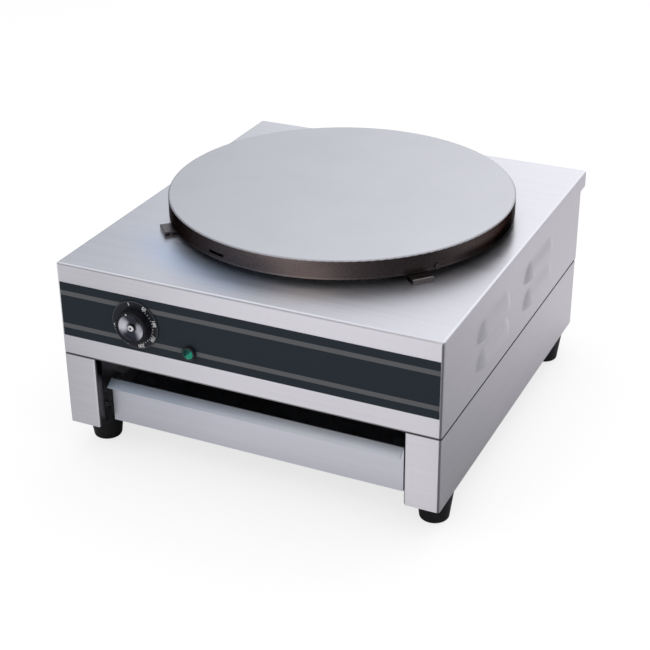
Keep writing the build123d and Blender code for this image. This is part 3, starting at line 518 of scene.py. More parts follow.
CASING_TONE = (0.86, 0.855, 0.885)
DRAWER_TONE = (0.74, 0.76, 0.815)
casing_steel = brushed_steel("brushed_casing_steel", CASING_TONE, 0.34, drawn=0.6, casing=True)
drawer_steel = brushed_steel("brushed_drawer_steel", DRAWER_TONE, 0.36, cloudiness=0.05)
# The drawer's lip gets painted shade and light on the faces that look up.
lip_steel = brushed_steel("drawer_steel_with_painted_shade", DRAWER_TONE, 0.36, shade_upward=True)
bracket_steel = brushed_steel("heat_stained_bracket_steel", (0.24, 0.215, 0.21), 0.28, 0.06)
print("casing steel made of", len(casing_steel.node_tree.nodes), "nodes")

# %% [markdown]
# ### Galvanised sheet and zinc plating
# Hidden sheets are zinc-coated. Zinc sets in flat crystals a few millimetres across, which a
# cell pattern gives: each cell has its own grey and its own gloss. Screws have a finer coat, and
# so fine a cell also suits plain brass and copper, whose grain is as small.


# %% Zinc finishes
def zinc(name, tone, cells, roughness):
    made, tree, skin = plain_finish(name, tone, roughness, metallic=1.0)
    crystal = add_node(tree, "ShaderNodeTexVoronoi", {"Vector": place_on(tree), "Scale": cells})
    grey = node_on("ShaderNodeSeparateColor", {0: crystal.outputs["Color"]})[0]
    rough = spread(grey, 0.0, 1.0, roughness - 0.08, roughness + 0.1)
    coat(skin, Base_Color=tinted(grey, scaled(tone, 0.82), tone), Roughness=rough)
    return made


galvanised = zinc("galvanised_sheet", (0.42, 0.43, 0.45), 120.0, 0.42)
zinc_plate = zinc("zinc_plated_steel", (0.66, 0.66, 0.68), 900.0, 0.32)
# Painted shade: the casing floor, seen in the joint, is a darker copy of the galvanised sheet.
shaded_zinc = zinc("shaded_floor_sheet", (0.30, 0.30, 0.315), 120.0, 0.5)
dark_screw = zinc("heat_darkened_screw", (0.12, 0.112, 0.112), 900.0, 0.4)
brass = zinc("plain_brass", (0.72, 0.55, 0.28), 700.0, 0.30)
copper = zinc("drawn_copper", (0.78, 0.42, 0.28), 600.0, 0.28)
print("materials so far", len(bpy.data.materials))

# %% [markdown]
# ### The hotplate
# The plate is grey cast iron. Its face is turned on a lathe and then seasoned, so it is pale and
# satin with fine rings about the middle, and the rim keeps its dark brown casting skin. One
# material covers both: the height above the floor tells the turned face from the rim, and a noise
# that is read along the distance from the axis makes the rings. Painted shade darkens the rim at
# the sides and behind, and its lower half on the right, which leaves a painted highlight at the
# front. A pale band along its lower edge is a painted highlight too. The shade's amount goes by
# the angle about the axis, which jumps at the far left, so both ends of the angle have the same
# amount there.


# %% Cast iron, turned and seasoned
def rim_shade(axes):
    """How much painted shade darkens the rim, by the angle about the plate's axis and the height.
    """
    turned = sums("ARCTAN2", axes["Y"], axes["X"])

    def round_rim(low, high, to_low=0.0, to_high=1.0, smooth=True):
        return spread(turned, math.radians(low), math.radians(high), to_low, to_high, smooth)

    left = round_rim(-90, -116, 0.0, 0.52)
    right = round_rim(-73, -50, 0.0, 0.60)
    behind = round_rim(60, 90, 0.0, 0.52, smooth=False)
    far_right = round_rim(-40, -22, smooth=False)
    right = times(right, less(1.0, times(far_right, 0.7)))
    shade_by_angle = sums("MAXIMUM", sums("MAXIMUM", left, right), behind)
    low_shade = spread(axes["Z"], plate_top - 0.006, plate_top - 0.016, 0.0, 0.8)
    low_shade = times(low_shade, round_rim(60, 120, 1.0, 0.0))
    return sums("MAXIMUM", shade_by_angle, times(low_shade, far_right))


def hotplate_iron():
    face_sheen = (0.5, 0.48, 0.48)
    made, tree, skin = plain_finish(
        "turned_cast_iron", (0.62, 0.62, 0.635), 0.4, 1.0, Specular_Tint=(*face_sheen, 1.0)
    )
    centred = place_on(tree, shift=(-plate_middle.x, -plate_middle.y, 0))
    axes = split(centred)
    out = from_axis(axes, "X", "Y")
    on_face = spread(axes["Z"], plate_top - 0.0016, plate_top - 0.0012)
    rings = cloud(joined(times(out, 900.0)), 1.0, 5.0, 0.6)
    blotch = cloud(centred, 9.0, 6.0, 0.6)
    speck = cloud(centred, 420.0, 2.0, 0.5)
    face = toned(rings, (0.80, 0.805, 0.83), (0.3, 0.7, (0.87, 0.875, 0.90)))
    stained = spread(blotch, 0.42, 0.75, 0.0, 0.35)
    face = tinted(stained, face, (0.74, 0.745, 0.77))
    by_edge = times(on_face, spread(out, plate_radius - 0.0022, plate_radius - 0.001))
    face = tinted(times(by_edge, 0.7), face, (0.48, 0.48, 0.49))
    rim = toned(speck, (0.182, 0.147, 0.138), (0.35, 0.65, (0.202, 0.164, 0.153)))
    # Painted highlight: a pale band along the rim's lower edge.
    low_edge_highlight = ease(axes["Z"], plate_low.z + 0.0034, plate_low.z + 0.0018)
    rim = tinted(low_edge_highlight, rim, (0.27, 0.235, 0.22))
    # Painted shade on the rim at the sides, behind and low on the right.
    rim = tinted(rim_shade(axes), rim, (0.014, 0.011, 0.012))
    sheen = tinted(on_face, (0.12, 0.10, 0.10), face_sheen)
    coat(skin, Base_Color=tinted(on_face, rim, face), Specular_Tint=sheen)
    rough_face = spread(rings, 0.3, 0.7, 0.40, 0.50)
    rough_rim = spread(speck, 0.3, 0.7, 0.25, 0.32)
    coat(skin, Roughness=blend(on_face, rough_rim, rough_face))
    grit = blend(on_face, times(speck, 0.35), rings)
    raise_skin(skin, grit, 0.12, 0.0004)
    return made


iron = hotplate_iron()
print("plate radius", round(plate_radius, 4), "top", round(plate_top, 4))

# %% [markdown]
# ### Plastics, rubber and film
# Moulded black parts differ in gloss and in the size of their texture. Each gets a fine noise for
# its colour, its roughness and a shallow bump.


# %% Moulded finishes
def moulding(name, dark, light, roughness, grain, bump=0.08, **sockets):
    made, tree, skin = plain_finish(name, light, roughness, **sockets)
    speck = cloud(place_on(tree), grain, 4.0, 0.6)
    worn = cloud(place_on(tree), 28.0, 3.0, 0.5)
    mixed = plus(times(speck, 0.5), times(worn, 0.5))
    tone = toned(mixed, dark, (0.35, 0.65, light))
    rough = spread(mixed, 0.35, 0.65, roughness - 0.06, roughness + 0.06)
    coat(skin, Base_Color=tone, Roughness=rough)
    raise_skin(skin, speck, bump, 0.0003)
    return made


knob_plastic = moulding(
    "satin_knob_plastic", (0.006, 0.006, 0.008), (0.012, 0.012, 0.015), 0.30, 900.0,
    Specular_IOR_Level=0.28,
)
black_plastic = moulding(
    "glossy_black_moulding", (0.008, 0.008, 0.010), (0.016, 0.016, 0.018), 0.24, 700.0, 0.03,
    Specular_IOR_Level=0.35,
)
foot_rubber = moulding(
    "moulded_foot_rubber", (0.006, 0.006, 0.007), (0.012, 0.012, 0.014), 0.42, 1100.0, 0.14,
    Specular_IOR_Level=0.3,
)
seal_rubber = moulding(
    "soft_seal_rubber", (0.020, 0.020, 0.020), (0.036, 0.036, 0.036), 0.6, 900.0
)
nylon = moulding("black_nylon", (0.020, 0.020, 0.021), (0.035, 0.035, 0.036), 0.45, 800.0)
cream_plastic = moulding(
    "cream_terminal_moulding", (0.70, 0.66, 0.56), (0.80, 0.77, 0.68), 0.4, 500.0
)
wire_sleeve = moulding(
    "silicone_wire_sleeve", (0.62, 0.58, 0.50), (0.72, 0.69, 0.62), 0.55, 500.0
)
fibre = moulding("ceramic_fibre_board", (0.74, 0.72, 0.66), (0.86, 0.85, 0.80), 0.9, 260.0, 0.5)
sheath = moulding(
    "oxidised_element_sheath", (0.075, 0.072, 0.074), (0.14, 0.13, 0.13), 0.5, 400.0, Metallic=0.8
)
white_ink = moulding("white_dial_ink", (0.78, 0.79, 0.80), (0.88, 0.88, 0.88), 0.5, 700.0, 0.02)
print("materials so far", len(bpy.data.materials))

# %% [markdown]
# ### The control strip
# A dark film is stuck over the front panel, with two paler lines along it. The film's flat face
# looks along one axis, so the lines are bands of height above the floor, with soft edges a fifth
# of a millimetre wide. The dial plate is the same kind of film, with a thin pale line round its
# edge that is a painted highlight.

# %% Control film
STRIPE_HALF = 0.0029
STRIPE_OFFSET = 0.020
STRIPE_EDGE = 0.0002
film_low, film_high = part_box("control_overlay")
film_middle = (film_low.z + film_high.z) / 2


def control_film():
    film_tone = (0.022, 0.031, 0.038)
    made, tree, skin = plain_finish("dark_control_film", film_tone, 0.34, Specular_IOR_Level=0.12)
    axes = split(place_on(tree))
    from_middle = sums("ABSOLUTE", less(axes["Z"], film_middle))
    from_stripe = sums("ABSOLUTE", less(from_middle, STRIPE_OFFSET))
    on_stripe = spread(from_stripe, STRIPE_HALF, STRIPE_HALF - STRIPE_EDGE)
    tooth = cloud(place_on(tree), 1400.0, 2.0)
    ground = tinted(tooth, (0.015, 0.022, 0.028), (0.020, 0.029, 0.037))
    line = tinted(tooth, (0.101, 0.104, 0.111), (0.119, 0.122, 0.130))
    tone, rough = tinted(on_stripe, ground, line), spread(tooth, 0.3, 0.7, 0.27, 0.34)
    coat(skin, Base_Color=tone, Roughness=rough)
    raise_skin(skin, tooth, 0.03, 0.0002)
    return made


film = control_film()
print("strip from", round(film_low.z, 4), "to", round(film_high.z, 4))


# %% Dial plate
def dial_plate_finish():
    """Satin black, with a painted highlight: a thin pale line just inside its edge."""
    low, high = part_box("dial_ring")
    middle, edge = (low + high) / 2, (high.x - low.x) / 2
    tone = (0.012, 0.014, 0.019)
    made, tree, skin = plain_finish("satin_dial_plate", tone, 0.34, Specular_IOR_Level=0.25)
    axes = split(place_on(tree, shift=(-middle.x, 0, -middle.z)))
    out = from_axis(axes, "X", "Z")
    tooth = cloud(place_on(tree), 1300.0, 2.0)
    ground = tinted(tooth, (0.009, 0.011, 0.016), (0.015, 0.017, 0.023))
    past_inner = spread(out, edge - 0.0011, edge - 0.0009)
    before_outer = spread(out, edge - 0.0004, edge - 0.0006)
    edge_highlight = times(times(past_inner, before_outer), 0.6)
    tone = tinted(edge_highlight, ground, (0.16, 0.17, 0.20))
    coat(skin, Base_Color=tone, Roughness=spread(tooth, 0.3, 0.7, 0.30, 0.40))
    raise_skin(skin, tooth, 0.03, 0.0002)
    return made


dial_print = dial_plate_finish()
print("dial plate made of", len(dial_print.node_tree.nodes), "nodes")

# %% [markdown]
# ### Chrome and the green lens
# The knob's cap is turned and polished: fine rings about its axis draw each reflection out, and
# its rolled rim is painted black. Two opposite fans of light on its dish are painted highlights,
# and a dark ring round the stub and a dark dot in its middle are painted shade. The lens is clear
# green plastic cut in facets, with painted light: facets that face right and down are lighter.


# %% Chrome cap
def knob_cap_finish():
    """Polished dish and stub in a rim painted satin black, with painted highlights and shade."""
    low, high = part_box("knob_cap")
    middle = (low + high) / 2
    made, tree, skin = plain_finish(
        "knob_cap_finish", (0.24, 0.24, 0.26), 0.2, metallic=1.0, Anisotropic=0.75
    )
    axes = split(place_on(tree, shift=(-middle.x, 0, -middle.z)))
    out = from_axis(axes, "X", "Z")
    rings = cloud(joined(times(out, 2600.0)), 1.0)
    # Painted highlights: the dish's tone rises twice round the axis, in two opposite fans.
    round_angle = sums("ARCTAN2", axes["Z"], axes["X"])
    fan_highlight = sums("COSINE", times(plus(round_angle, 0.15), 2.0))
    fan_highlight = ease(plus(fan_highlight, times(rings, 0.4)), -0.4, 1.2)
    dish = tinted(fan_highlight, (0.045, 0.048, 0.062), (0.62, 0.625, 0.67))
    stub = tinted(rings, (0.80, 0.80, 0.82), (0.92, 0.92, 0.94))
    # Painted shade: a dark ring round the stub, and a dark dot in its middle.
    tone = toned(
        out, dish,
        (0.0075, 0.0045, (0.045, 0.045, 0.055)),
        (0.0040, 0.0036, stub),
        (0.0014, 0.0012, (0.05, 0.05, 0.05)),
    )
    painted = spread(out, 0.0150, 0.0154)
    paint = tinted(rings, (0.010, 0.011, 0.015), (0.018, 0.019, 0.025))
    polished = spread(rings, 0.3, 0.7, 0.20, 0.30)
    spun = add_node(tree, "ShaderNodeTangent", direction_type="RADIAL", axis="Y").outputs[0]
    coat(
        skin,
        Base_Color=tinted(painted, tone, paint),
        Roughness=blend(painted, polished, 0.42),
        Metallic=spread(painted, 0.0, 1.0, 1.0, 0.0),
        Specular_IOR_Level=spread(painted, 0.0, 1.0, 0.5, 0.12),
        Tangent=spun,
    )
    raise_skin(skin, rings, 0.05, 0.0002)
    return made


chrome = knob_cap_finish()
print("chrome made of", len(chrome.node_tree.nodes), "nodes")


# %% Green lens
def lamp_green():
    made, tree, skin = plain_finish(
        "clear_green_lens", (0.01, 0.22, 0.14), 0.12,
        Transmission_Weight=0.12, IOR=1.49, Specular_IOR_Level=0.2,
    )
    swirl = cloud(place_on(tree), 350.0, 2.0)
    normal = split(add_node(tree, "ShaderNodeNewGeometry").outputs["Normal"])
    # Painted light: facets that face right and down are lighter green, the others darker.
    slope = less(normal["X"], times(normal["Z"], 0.6))
    slope = plus(slope, times(swirl, 0.2))
    painted_facet_light = ease(slope, -0.15, 0.45)
    tone = tinted(painted_facet_light, (0.002, 0.045, 0.042), (0.018, 0.36, 0.24))
    coat(skin, Base_Color=tone, Roughness=spread(swirl, 0.3, 0.7, 0.08, 0.16))
    return made


green = lamp_green()
print("materials", len(bpy.data.materials))

# %% [markdown]
# ## From CAD solids to shaded pieces
# A CAD node arrives as loose flat triangles. Its copy is merged into one skin, and every edge
# flatter than a set angle is shaded smooth, so that bends look bent and folds stay crisp. The
# copy then stands for the node, on the same body.

# %% Merge and smooth a copy
SMOOTH_BELOW = math.radians(28)
ONE_PLANE = 0.99998
SAME_POINT = 2e-6


def flat_regions(skin):
    """Groups the faces that lie in one plane: the group of each face, and the direction and area
    of each group."""
    region_of, regions = {}, []
    for start in skin.faces:
        if start.index in region_of:
            continue
        normal, area, front = Vector(), 0.0, [start]
        region_of[start.index] = len(regions)
        while front:
            face = front.pop()
            normal += face.normal * face.calc_area()
            area += face.calc_area()
            for edge in face.edges:
                for other in edge.link_faces:
                    new = other.index not in region_of
                    if new and other.normal.dot(start.normal) > ONE_PLANE:
                        region_of[other.index] = len(regions)
                        front.append(other)
        regions.append((normal.normalized() if area > 0 else start.normal.copy(), area))
    return region_of, regions


def shade(mesh, angle=SMOOTH_BELOW):
    """Smooth shading in which a large flat keeps its own direction right up to a bend."""
    skin = bmesh.new()
    skin.from_mesh(mesh)
    skin.faces.ensure_lookup_table()
    region_of, regions = flat_regions(skin)
    limit = math.cos(angle)
    normals = []
    for face in skin.faces:
        own = regions[region_of[face.index]][0]
        for corner in face.loops:
            near = {region_of[other.index] for other in corner.vert.link_faces}
            near = [regions[r] for r in near if regions[r][0].dot(own) > limit]
            largest = max((area for _, area in near), default=0.0)
            total = Vector()
            for normal, area in near:
                if area * 10 >= largest:
                    total += normal * area
            normals.append(total.normalized() if total.length > 0 else own)
    skin.free()
    mesh.shade_smooth()
    mesh.normals_split_custom_set(normals)


def merged_skin(node):
    """A node's triangles with the points that meet merged."""
    skin = bmesh.new()
    skin.from_mesh(frame["nodes"][node].data)
    bmesh.ops.remove_doubles(skin, verts=skin.verts, dist=SAME_POINT)
    return skin


def finished_mesh(skin, name):
    """A mesh made of a skin, which is then let go."""
    mesh = bpy.data.meshes.new(name)
    skin.to_mesh(mesh)
    skin.free()
    return mesh


def evaluated_mesh(holder):
    """A plain mesh of what an object is after its modifiers."""
    depsgraph = bpy.context.evaluated_depsgraph_get()
    return bpy.data.meshes.new_from_object(holder.evaluated_get(depsgraph))


def stands_for(piece, *nodes):
    """Puts a piece on the body of the nodes that it replaces, and hides those nodes."""
    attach(piece, body_of_node[nodes[0]])
    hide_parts(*nodes)


def smooth_copy(node, name, material, angle):
    mesh = finished_mesh(merged_skin(node), name)
    mesh.materials.clear()
    mesh.materials.append(material)
    shade(mesh, angle)
    stands_for(in_scene(name, mesh), node)


shown = {
    "top_cover": ("folded_top_cover", casing_steel),
    "rear_panel": ("back_panel", casing_steel),
    "base_channel_left": ("left_base_channel", casing_steel),
    "base_channel_right": ("right_base_channel", casing_steel),
    "base_rear_panel": ("base_back_panel", casing_steel),
    "drawer_front": ("drawer_face_and_lip", lip_steel),
    "drawer_tray": ("drawer_pan", drawer_steel),
    "griddle_plate": ("hotplate", iron),
    "plate_brackets": ("rim_brackets", bracket_steel),
    "plate_set_screw": ("rim_set_screw", dark_screw),
    "control_overlay": ("control_strip", film),
    "dial_ring": ("dial_plate", dial_print),
    "knob_cap": ("knob_dish", chrome),
    "lamp_bezel": ("lamp_ring", black_plastic),
    "lamp_lens": ("lamp_jewel", green),
    "gland_body": ("gland_barrel", nylon),
    "gland_dome_nut": ("gland_cap", nylon),
    "gland_seal": ("gland_grommet", seal_rubber),
}
for corner in ("front_left", "front_right", "rear_left", "rear_right"):
    shown["foot_" + corner] = (corner + "_foot", foot_rubber)
FACETED = {"lamp_lens": math.radians(4)}
for node, (name, material) in shown.items():
    smooth_copy(node, name, material, FACETED.get(node, SMOOTH_BELOW))
print(len(shown), "nodes stand as smooth copies")

# %% Hidden nodes keep their own mesh
kept = (
    (shaded_zinc, "casing_floor"),
    (galvanised, "drawer_runner_left", "drawer_runner_right", "runner_brackets"),
    (galvanised, "clamp_disc", "burner_pan"),
    (sheath, "inner_element", "outer_element"),
    (fibre, "insulation_disc"),
    (zinc_plate, "plate_studs", "plate_nuts", "thermostat_spindle", "thermostat_screws"),
    (zinc_plate, "assembly_screws", "assembly_nuts", "foot_screws", "foot_washers", "foot_nuts"),
    (copper, "sensing_capillary"),
    (black_plastic, "thermal_cutout", "thermostat_body", "lamp_holder", "lamp_nut"),
    (nylon, "gland_lock_nut"),
    (cream_plastic, "terminal_block"),
    (brass, "terminal_screws", "earth_stud"),
    (wire_sleeve, "internal_wires"),
)
for material, *nodes in kept:
    for node in nodes:
        data = frame["nodes"][node].data
        data.materials.clear()
        data.materials.append(material)
print(sum(len(row) - 1 for row in kept), "nodes keep their mesh")

# %% [markdown]
# ## Pieces that follow a rule
# Screw heads, rivets, scale marks and the flutes of the knob repeat one shape. Geometry Nodes
# make each of them: the tree has named inputs for its sizes, and its result is turned into a
# plain mesh afterwards, so that nothing depends on a live modifier.


# %% Build a node tree and bake it
def new_shape_tree(name, inputs):
    """An empty Geometry Nodes tree with the named number inputs, and its group input's sockets."""
    tree = bpy.data.node_groups.new(name, "GeometryNodeTree")
    tree.interface.new_socket("Geometry", in_out="INPUT", socket_type="NodeSocketGeometry")
    tree.interface.new_socket("Geometry", in_out="OUTPUT", socket_type="NodeSocketGeometry")
    for key, value in inputs.items():
        kind = "NodeSocketInt" if isinstance(value, int) else "NodeSocketFloat"
        tree.interface.new_socket(key, in_out="INPUT", socket_type=kind).default_value = value
    return tree, add_node(tree, "NodeGroupInput").outputs


def placed(shape, **moves):
    """A shape that is moved or scaled."""
    return node_on("GeometryNodeTransform", {0: shape, **moves})[0]


def cylinder(sides, radius, depth):
    inputs = {"Vertices": sides, "Radius": radius, "Depth": depth}
    return node_on("GeometryNodeMeshCylinder", inputs)["Mesh"]


def block(*sides):
    return node_on("GeometryNodeMeshCube", {"Size": joined(*sides)})["Mesh"]


def together(*shapes):
    one = add_node(shapes[0].id_data, "GeometryNodeJoinGeometry")
    for shape in shapes:
        one.id_data.links.new(shape, one.inputs[0])
    return one.outputs[0]


def without_doubles(shape, distance):
    return node_on("GeometryNodeMergeByDistance", {0: shape, "Distance": distance})[0]


def copied_to(points, shape, **turned):
    inputs = {"Points": points, "Instance": shape, **turned}
    return node_on("GeometryNodeInstanceOnPoints", inputs)[0]


def end_tree(shape, material):
    real = node_on("GeometryNodeRealizeInstances", {0: shape})[0]
    painted = node_on("GeometryNodeSetMaterial", {0: real, "Material": material})[0]
    node_on("NodeGroupOutput", {0: painted})
    return shape.id_data


def bake(tree, name, sizes, places=((0, 0, 0),)):
    """Runs the tree on a mesh that holds only the given points, and returns a plain object."""
    seed = bpy.data.meshes.new(name + "_places")
    seed.from_pydata([tuple(p) for p in places], [], [])
    holder = in_scene(name + "_places", seed)
    modifier = holder.modifiers.new("shape", "NODES")
    modifier.node_group = tree
    for item in tree.interface.items_tree:
        if item.in_out == "INPUT" and item.name in sizes:
            modifier[item.identifier] = sizes[item.name]
    mesh = evaluated_mesh(holder)
    mesh.name = name
    holder.modifiers.clear()
    bpy.data.objects.remove(holder)
    print(name, len(mesh.vertices), "points", len(mesh.polygons), "faces")
    return in_scene(name, mesh)


# %% [markdown]
# ### Cross-head screws and rivets
# A pan head is a short cylinder with a domed top and a cross cut into it. The tree makes one head
# that looks along +Z, cuts the cross with a boolean, and copies it to each point. One slot of the
# cross is a little deeper, because a boolean leaves stray faces where two floors lie in one plane,
# and points that almost meet are merged. The same tree makes the rivets, with no cross.

# %% A head on each point
SCREW_HEAD = {"Head radius": 0.004, "Head height": 0.0024, "Shank radius": 0.002}
RIVET_HEAD = {"Head radius": 0.0036, "Head height": 0.0011, "Shank radius": 0.002}
SLOT_LENGTH, SLOT_WIDTH = 1.1, 0.26
SLOT_DEPTHS = 1.2, 1.25


def head_tree(name, material, crossed):
    tree, given = new_shape_tree(name, {**SCREW_HEAD, "Shank length": 0.008})
    radius, height = given["Head radius"], given["Head height"]
    rim_height = times(height, 0.5)
    rim = cylinder(40, radius, rim_height)
    rim = placed(rim, Translation=joined(0, 0, times(height, 0.25)))
    inputs = {"Segments": 40, "Rings": 20, "Radius": radius}
    dome = node_on("GeometryNodeMeshUVSphere", inputs)["Mesh"]
    squash = joined(1.0, 1.0, sums("DIVIDE", rim_height, radius))
    dome = placed(dome, Translation=joined(0, 0, rim_height), Scale=squash)
    head = add_node(tree, "GeometryNodeMeshBoolean", operation="UNION")
    tree.links.new(rim, head.inputs["Mesh 2"])
    tree.links.new(dome, head.inputs["Mesh 2"])
    shape = head.outputs["Mesh"]
    if crossed:
        long_arm, thin_arm = times(radius, SLOT_LENGTH), times(radius, SLOT_WIDTH)
        deep, deeper = (times(height, depth) for depth in SLOT_DEPTHS)
        cut = add_node(tree, "GeometryNodeMeshBoolean", {"Mesh 1": shape}, operation="DIFFERENCE")
        for sides in ((long_arm, thin_arm, deep), (thin_arm, long_arm, deeper)):
            arm = placed(block(*sides), Translation=joined(0, 0, height))
            tree.links.new(arm, cut.inputs["Mesh 2"])
        shape = cut.outputs["Mesh"]
    shape = without_doubles(shape, SAME_POINT)
    shank = cylinder(24, given["Shank radius"], given["Shank length"])
    half_down = times(given["Shank length"], -0.5)
    shank = placed(shank, Translation=joined(0, 0, half_down))
    copies = copied_to(given["Geometry"], together(shape, shank))
    return end_tree(copies, material)


def islands(node):
    """The box of each separate solid of a node."""
    skin = merged_skin(node)
    boxes, seen = [], set()
    for start in skin.verts:
        if start in seen:
            continue
        group, to_visit = [], [start]
        seen.add(start)
        while to_visit:
            vert = to_visit.pop()
            group.append(vert.co)
            for edge in vert.link_edges:
                other = edge.other_vert(vert)
                if other not in seen:
                    seen.add(other)
                    to_visit.append(other)
        low = Vector([min(c[i] for c in group) for i in range(3)])
        high = Vector([max(c[i] for c in group) for i in range(3)])
        boxes.append((low, high))
    skin.free()
    return boxes


def turn_mesh(piece, matrix):
    piece.data.transform(matrix)
    piece.data.update()
    shade(piece.data)


# %% Screws of the back panel
LOOK_BACK = Matrix(((-1, 0, 0, 0), (0, 0, 1, 0), (0, 1, 0, 0), (0, 0, 0, 1)))
head_height = SCREW_HEAD["Head height"]
boxes = islands("rear_panel_screws")
spots = [
    (-(low.x + high.x) / 2, (low.z + high.z) / 2, high.y - head_height) for low, high in boxes
]
sizes = {**SCREW_HEAD, "Shank length": spots[0][2] - boxes[0][0].y}
tree = head_tree("cross_head_screw", zinc_plate, True)
back_screws = bake(tree, "back_panel_screws", sizes, spots)
turn_mesh(back_screws, LOOK_BACK)
stands_for(back_screws, "rear_panel_screws")

# %% Rivets of the rim brackets
head_height = RIVET_HEAD["Head height"]
boxes = islands("bracket_rivets")
spots = [((low.x + high.x) / 2, (low.y + high.y) / 2, high.z - head_height) for low, high in boxes]
low, high = boxes[0]
sizes = {**RIVET_HEAD, "Shank length": high.z - low.z - head_height}
rivets = bake(head_tree("domed_rivet", zinc_plate, False), "rim_bracket_rivets", sizes, spots)
shade(rivets.data)
stands_for(rivets, "bracket_rivets")

# %% [markdown]
# ### The knob
# The knob is a disc whose side is cut by evenly spaced flutes. The tree starts from a circle of
# points and pulls each point in by a wave of the angle, which is flat on the ribs and round in
# the flutes. The outline is then filled and pulled out to the knob's height. Last, a round seat
# is cut into its front, where the cap sits.

# %% Fluted knob
LOOK_FORWARD = Matrix.Rotation(math.pi / 2, 4, "X")
KNOB = {"Radius": 0.02, "Flutes": 36, "Flute depth": 0.0007, "Taper": 0.97}
knob_low, knob_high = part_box("knob_body")
knob_middle = (knob_low + knob_high) / 2


def knob_tree():
    tree, given = new_shape_tree("fluted_knob", {**KNOB, "Height": 0.0087})
    radius, flutes = given["Radius"], given["Flutes"]
    inputs = {"Resolution": times(flutes, 12.0), "Radius": radius}
    circle = node_on("GeometryNodeCurvePrimitiveCircle", inputs)[0]
    spot = add_node(tree, "GeometryNodeInputPosition").outputs[0]
    axes = split(spot)
    angle = sums("ARCTAN2", axes["Y"], axes["X"])
    wave = sums("COSINE", times(angle, flutes))
    cut = sums("MAXIMUM", plus(times(wave, 1.25), -0.25), 0.0)
    inward = times(cut, given["Flute depth"])
    share = less(1.0, sums("DIVIDE", inward, radius))
    inputs = {0: spot, "Scale": share}
    moved = node_on("ShaderNodeVectorMath", inputs, operation="SCALE")[0]
    inputs = {0: circle, "Position": moved}
    outline = node_on("GeometryNodeSetPosition", inputs)[0]
    face = node_on("GeometryNodeFillCurve", {0: outline}, mode="NGONS")[0]
    lift = joined(0, 0, given["Height"])
    inputs = {0: face, "Offset": lift, "Offset Scale": 1.0, "Individual": False}
    raised = node_on("GeometryNodeExtrudeMesh", inputs)
    inputs = {0: raised[0], "Selection": raised["Top"], "Scale": given["Taper"]}
    tapered = node_on("GeometryNodeScaleElements", inputs)[0]
    flipped = node_on("GeometryNodeFlipFaces", {0: face})[0]
    closed = without_doubles(together(tapered, flipped), 1e-6)
    return end_tree(closed, knob_plastic)


knob = bake(knob_tree(), "fluted_knob", {**KNOB, "Height": knob_high.y - knob_low.y})
to_front = Matrix.Translation((knob_middle.x, knob_high.y, knob_middle.z)) @ LOOK_FORWARD
turn_mesh(knob, to_front)
print("knob box", [round(v, 4) for v in knob_low], [round(v, 4) for v in knob_high])


# %% Seat for the cap
SEAT_RADIUS = 0.01645
SEAT_CUTTER_DEPTH = 0.0042
SEAT_CUTTER_MIDDLE = 0.0014


def disc(sides, radius, depth):
    made = bmesh.new()
    bmesh.ops.create_cone(
        made, cap_ends=True, segments=sides, radius1=radius, radius2=radius, depth=depth
    )
    return made


seat_mesh = finished_mesh(disc(96, SEAT_RADIUS, SEAT_CUTTER_DEPTH), "cap_seat")
cutter = in_scene("cap_seat", seat_mesh)
seat_spot = (knob_middle.x, knob_low.y + SEAT_CUTTER_MIDDLE, knob_middle.z)
seat_mesh.transform(Matrix.Translation(seat_spot) @ LOOK_FORWARD)
hollow = knob.modifiers.new("seat", "BOOLEAN")
hollow.operation = "DIFFERENCE"
hollow.object = cutter
finished = evaluated_mesh(knob)
knob.modifiers.clear()
knob.data = finished
bpy.data.objects.remove(cutter)
shade(knob.data, math.radians(40))
stands_for(knob, "knob_body")
print("knob", len(finished.polygons), "faces")

# %% [markdown]
# ### The dial's print
# Short strokes mark the steps between the numbers. They are thin bars on an arc: the tree places
# a point for each stroke, turns a bar to face the middle and copies it there. The numbers are
# text turned into flat meshes, a twentieth of a millimetre thick, on the dial plate's face.

# %% Scale strokes
DIAL_START = -15.0
NUMBER_STEP = 45.0
STROKE_STEP = 9.0
INK = 0.00005
STROKES = {
    "Count": 25,
    "First angle": math.radians(DIAL_START + NUMBER_STEP),
    "Step": math.radians(STROKE_STEP),
    "Middle radius": 0.0221,
    "Length": 0.0015,
    "Width": 0.0005,
    "Thickness": INK,
}
ring_low, ring_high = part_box("dial_ring")
ring_middle = (ring_low + ring_high) / 2
dial_middle = Vector((ring_middle.x, ring_low.y, ring_middle.z))
face_front = Matrix.Translation(dial_middle - Vector((0, INK / 2, 0))) @ LOOK_FORWARD


def stroke_tree():
    tree, given = new_shape_tree("dial_strokes", STROKES)
    line = node_on("GeometryNodeMeshLine", {"Count": given["Count"]})[0]
    number = add_node(tree, "GeometryNodeInputIndex").outputs[0]
    angle = plus(times(number, given["Step"]), given["First angle"])
    spot = joined(
        times(sums("SINE", angle), given["Middle radius"]),
        times(sums("COSINE", angle), given["Middle radius"]),
    )
    arc = node_on("GeometryNodeSetPosition", {0: line, "Position": spot})[0]
    bar = block(given["Width"], given["Length"], given["Thickness"])
    turned = joined(0, 0, times(angle, -1.0))
    return end_tree(copied_to(arc, bar, Rotation=turned), white_ink)


strokes = bake(stroke_tree(), "dial_scale_strokes", STROKES)
strokes.data.transform(face_front)
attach(strokes, body_of_node["dial_ring"])

# %% Numbers
NUMBER_RADIUS = 0.0247
NUMBER_HEIGHT = 0.0039
OFF_MARK = 0.0009, 0.0036, INK


def flat_text(words, height):
    curve = bpy.data.curves.new("dial_number_" + words, "FONT")
    curve.body = words
    curve.size = height * 1.38
    curve.align_x = "CENTER"
    curve.align_y = "CENTER"
    curve.extrude = INK / 2
    curve.offset = height * 0.022
    curve.resolution_u = 4
    holder = in_scene("dial_number_" + words, curve)
    mesh = evaluated_mesh(holder)
    bpy.data.objects.remove(holder)
    return mesh


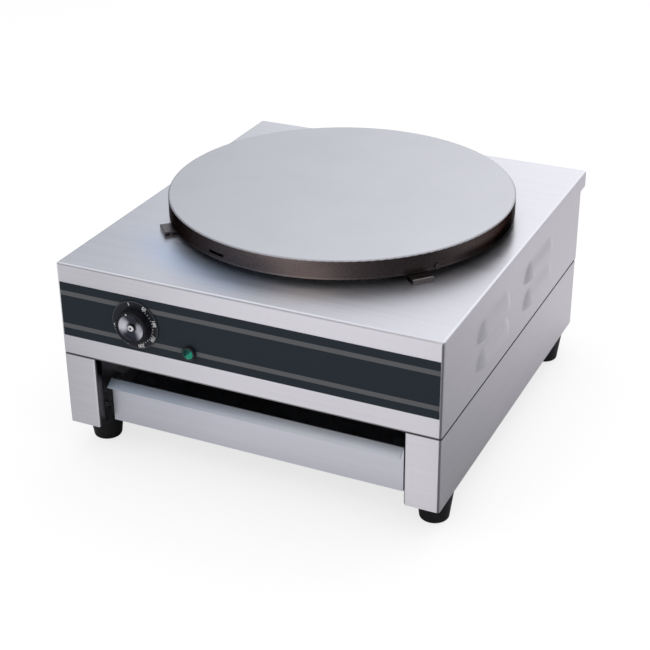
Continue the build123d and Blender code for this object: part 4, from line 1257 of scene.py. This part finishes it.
def on_dial(degrees):
    """Moves a number from the middle out to its place and turns it upright there."""
    angle = math.radians(degrees)
    spot = Vector((math.sin(angle), math.cos(angle), 0)) * NUMBER_RADIUS
    return Matrix.Translation(spot) @ Matrix.Rotation(-angle, 4, "Z")


numbers = bmesh.new()
for step, value in enumerate(("50", "100", "150", "200", "250", "300")):
    mesh = flat_text(value, NUMBER_HEIGHT)
    mesh.transform(on_dial(DIAL_START + NUMBER_STEP * (step + 1)))
    numbers.from_mesh(mesh)
off_mark = bmesh.ops.create_cube(numbers, size=1.0)["verts"]
off_place = on_dial(DIAL_START) @ Matrix.Diagonal((*OFF_MARK, 1.0))
bmesh.ops.transform(numbers, matrix=off_place, verts=off_mark)
number_mesh = finished_mesh(numbers, "dial_numbers")
number_mesh.materials.clear()
number_mesh.materials.append(white_ink)
for polygon in number_mesh.polygons:
    polygon.material_index = 0
number_mesh.transform(face_front)
dial_numbers = in_scene("dial_numbers", number_mesh)
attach(dial_numbers, body_of_node["dial_ring"])
print("numbers", len(number_mesh.polygons), "faces")

# %% [markdown]
# ### The knob's pointer
# A small white plug in the rolled rim shows where the knob points. It is a short disc with a
# rounded edge that is sunk into the rim, and it turns with the knob.

# %% White pointer dot
DOT_RADIUS = 0.00095
DOT_DEPTH = 0.0006
DOT_EDGE = 0.00012
DOT_FROM_MIDDLE = 0.0166
cap_low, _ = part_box("knob_cap")

dot = disc(32, DOT_RADIUS, DOT_DEPTH)
top_edges = [e for e in dot.edges if all(v.co.z > 0 for v in e.verts)]
bmesh.ops.bevel(dot, geom=top_edges, offset=DOT_EDGE, segments=2, affect="EDGES")
dot_mesh = finished_mesh(dot, "knob_pointer_dot")
angle = math.radians(DIAL_START)
spot = Vector((
    knob_middle.x + DOT_FROM_MIDDLE * math.sin(angle),
    cap_low.y + DOT_DEPTH / 2,
    knob_middle.z + DOT_FROM_MIDDLE * math.cos(angle),
))
dot_mesh.transform(Matrix.Translation(spot) @ LOOK_FORWARD)
dot_mesh.materials.append(white_ink)
shade(dot_mesh)
pointer = in_scene("knob_pointer_dot", dot_mesh)
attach(pointer, body_of_node["knob_cap"])
print("pointer at", [round(v, 4) for v in spot])
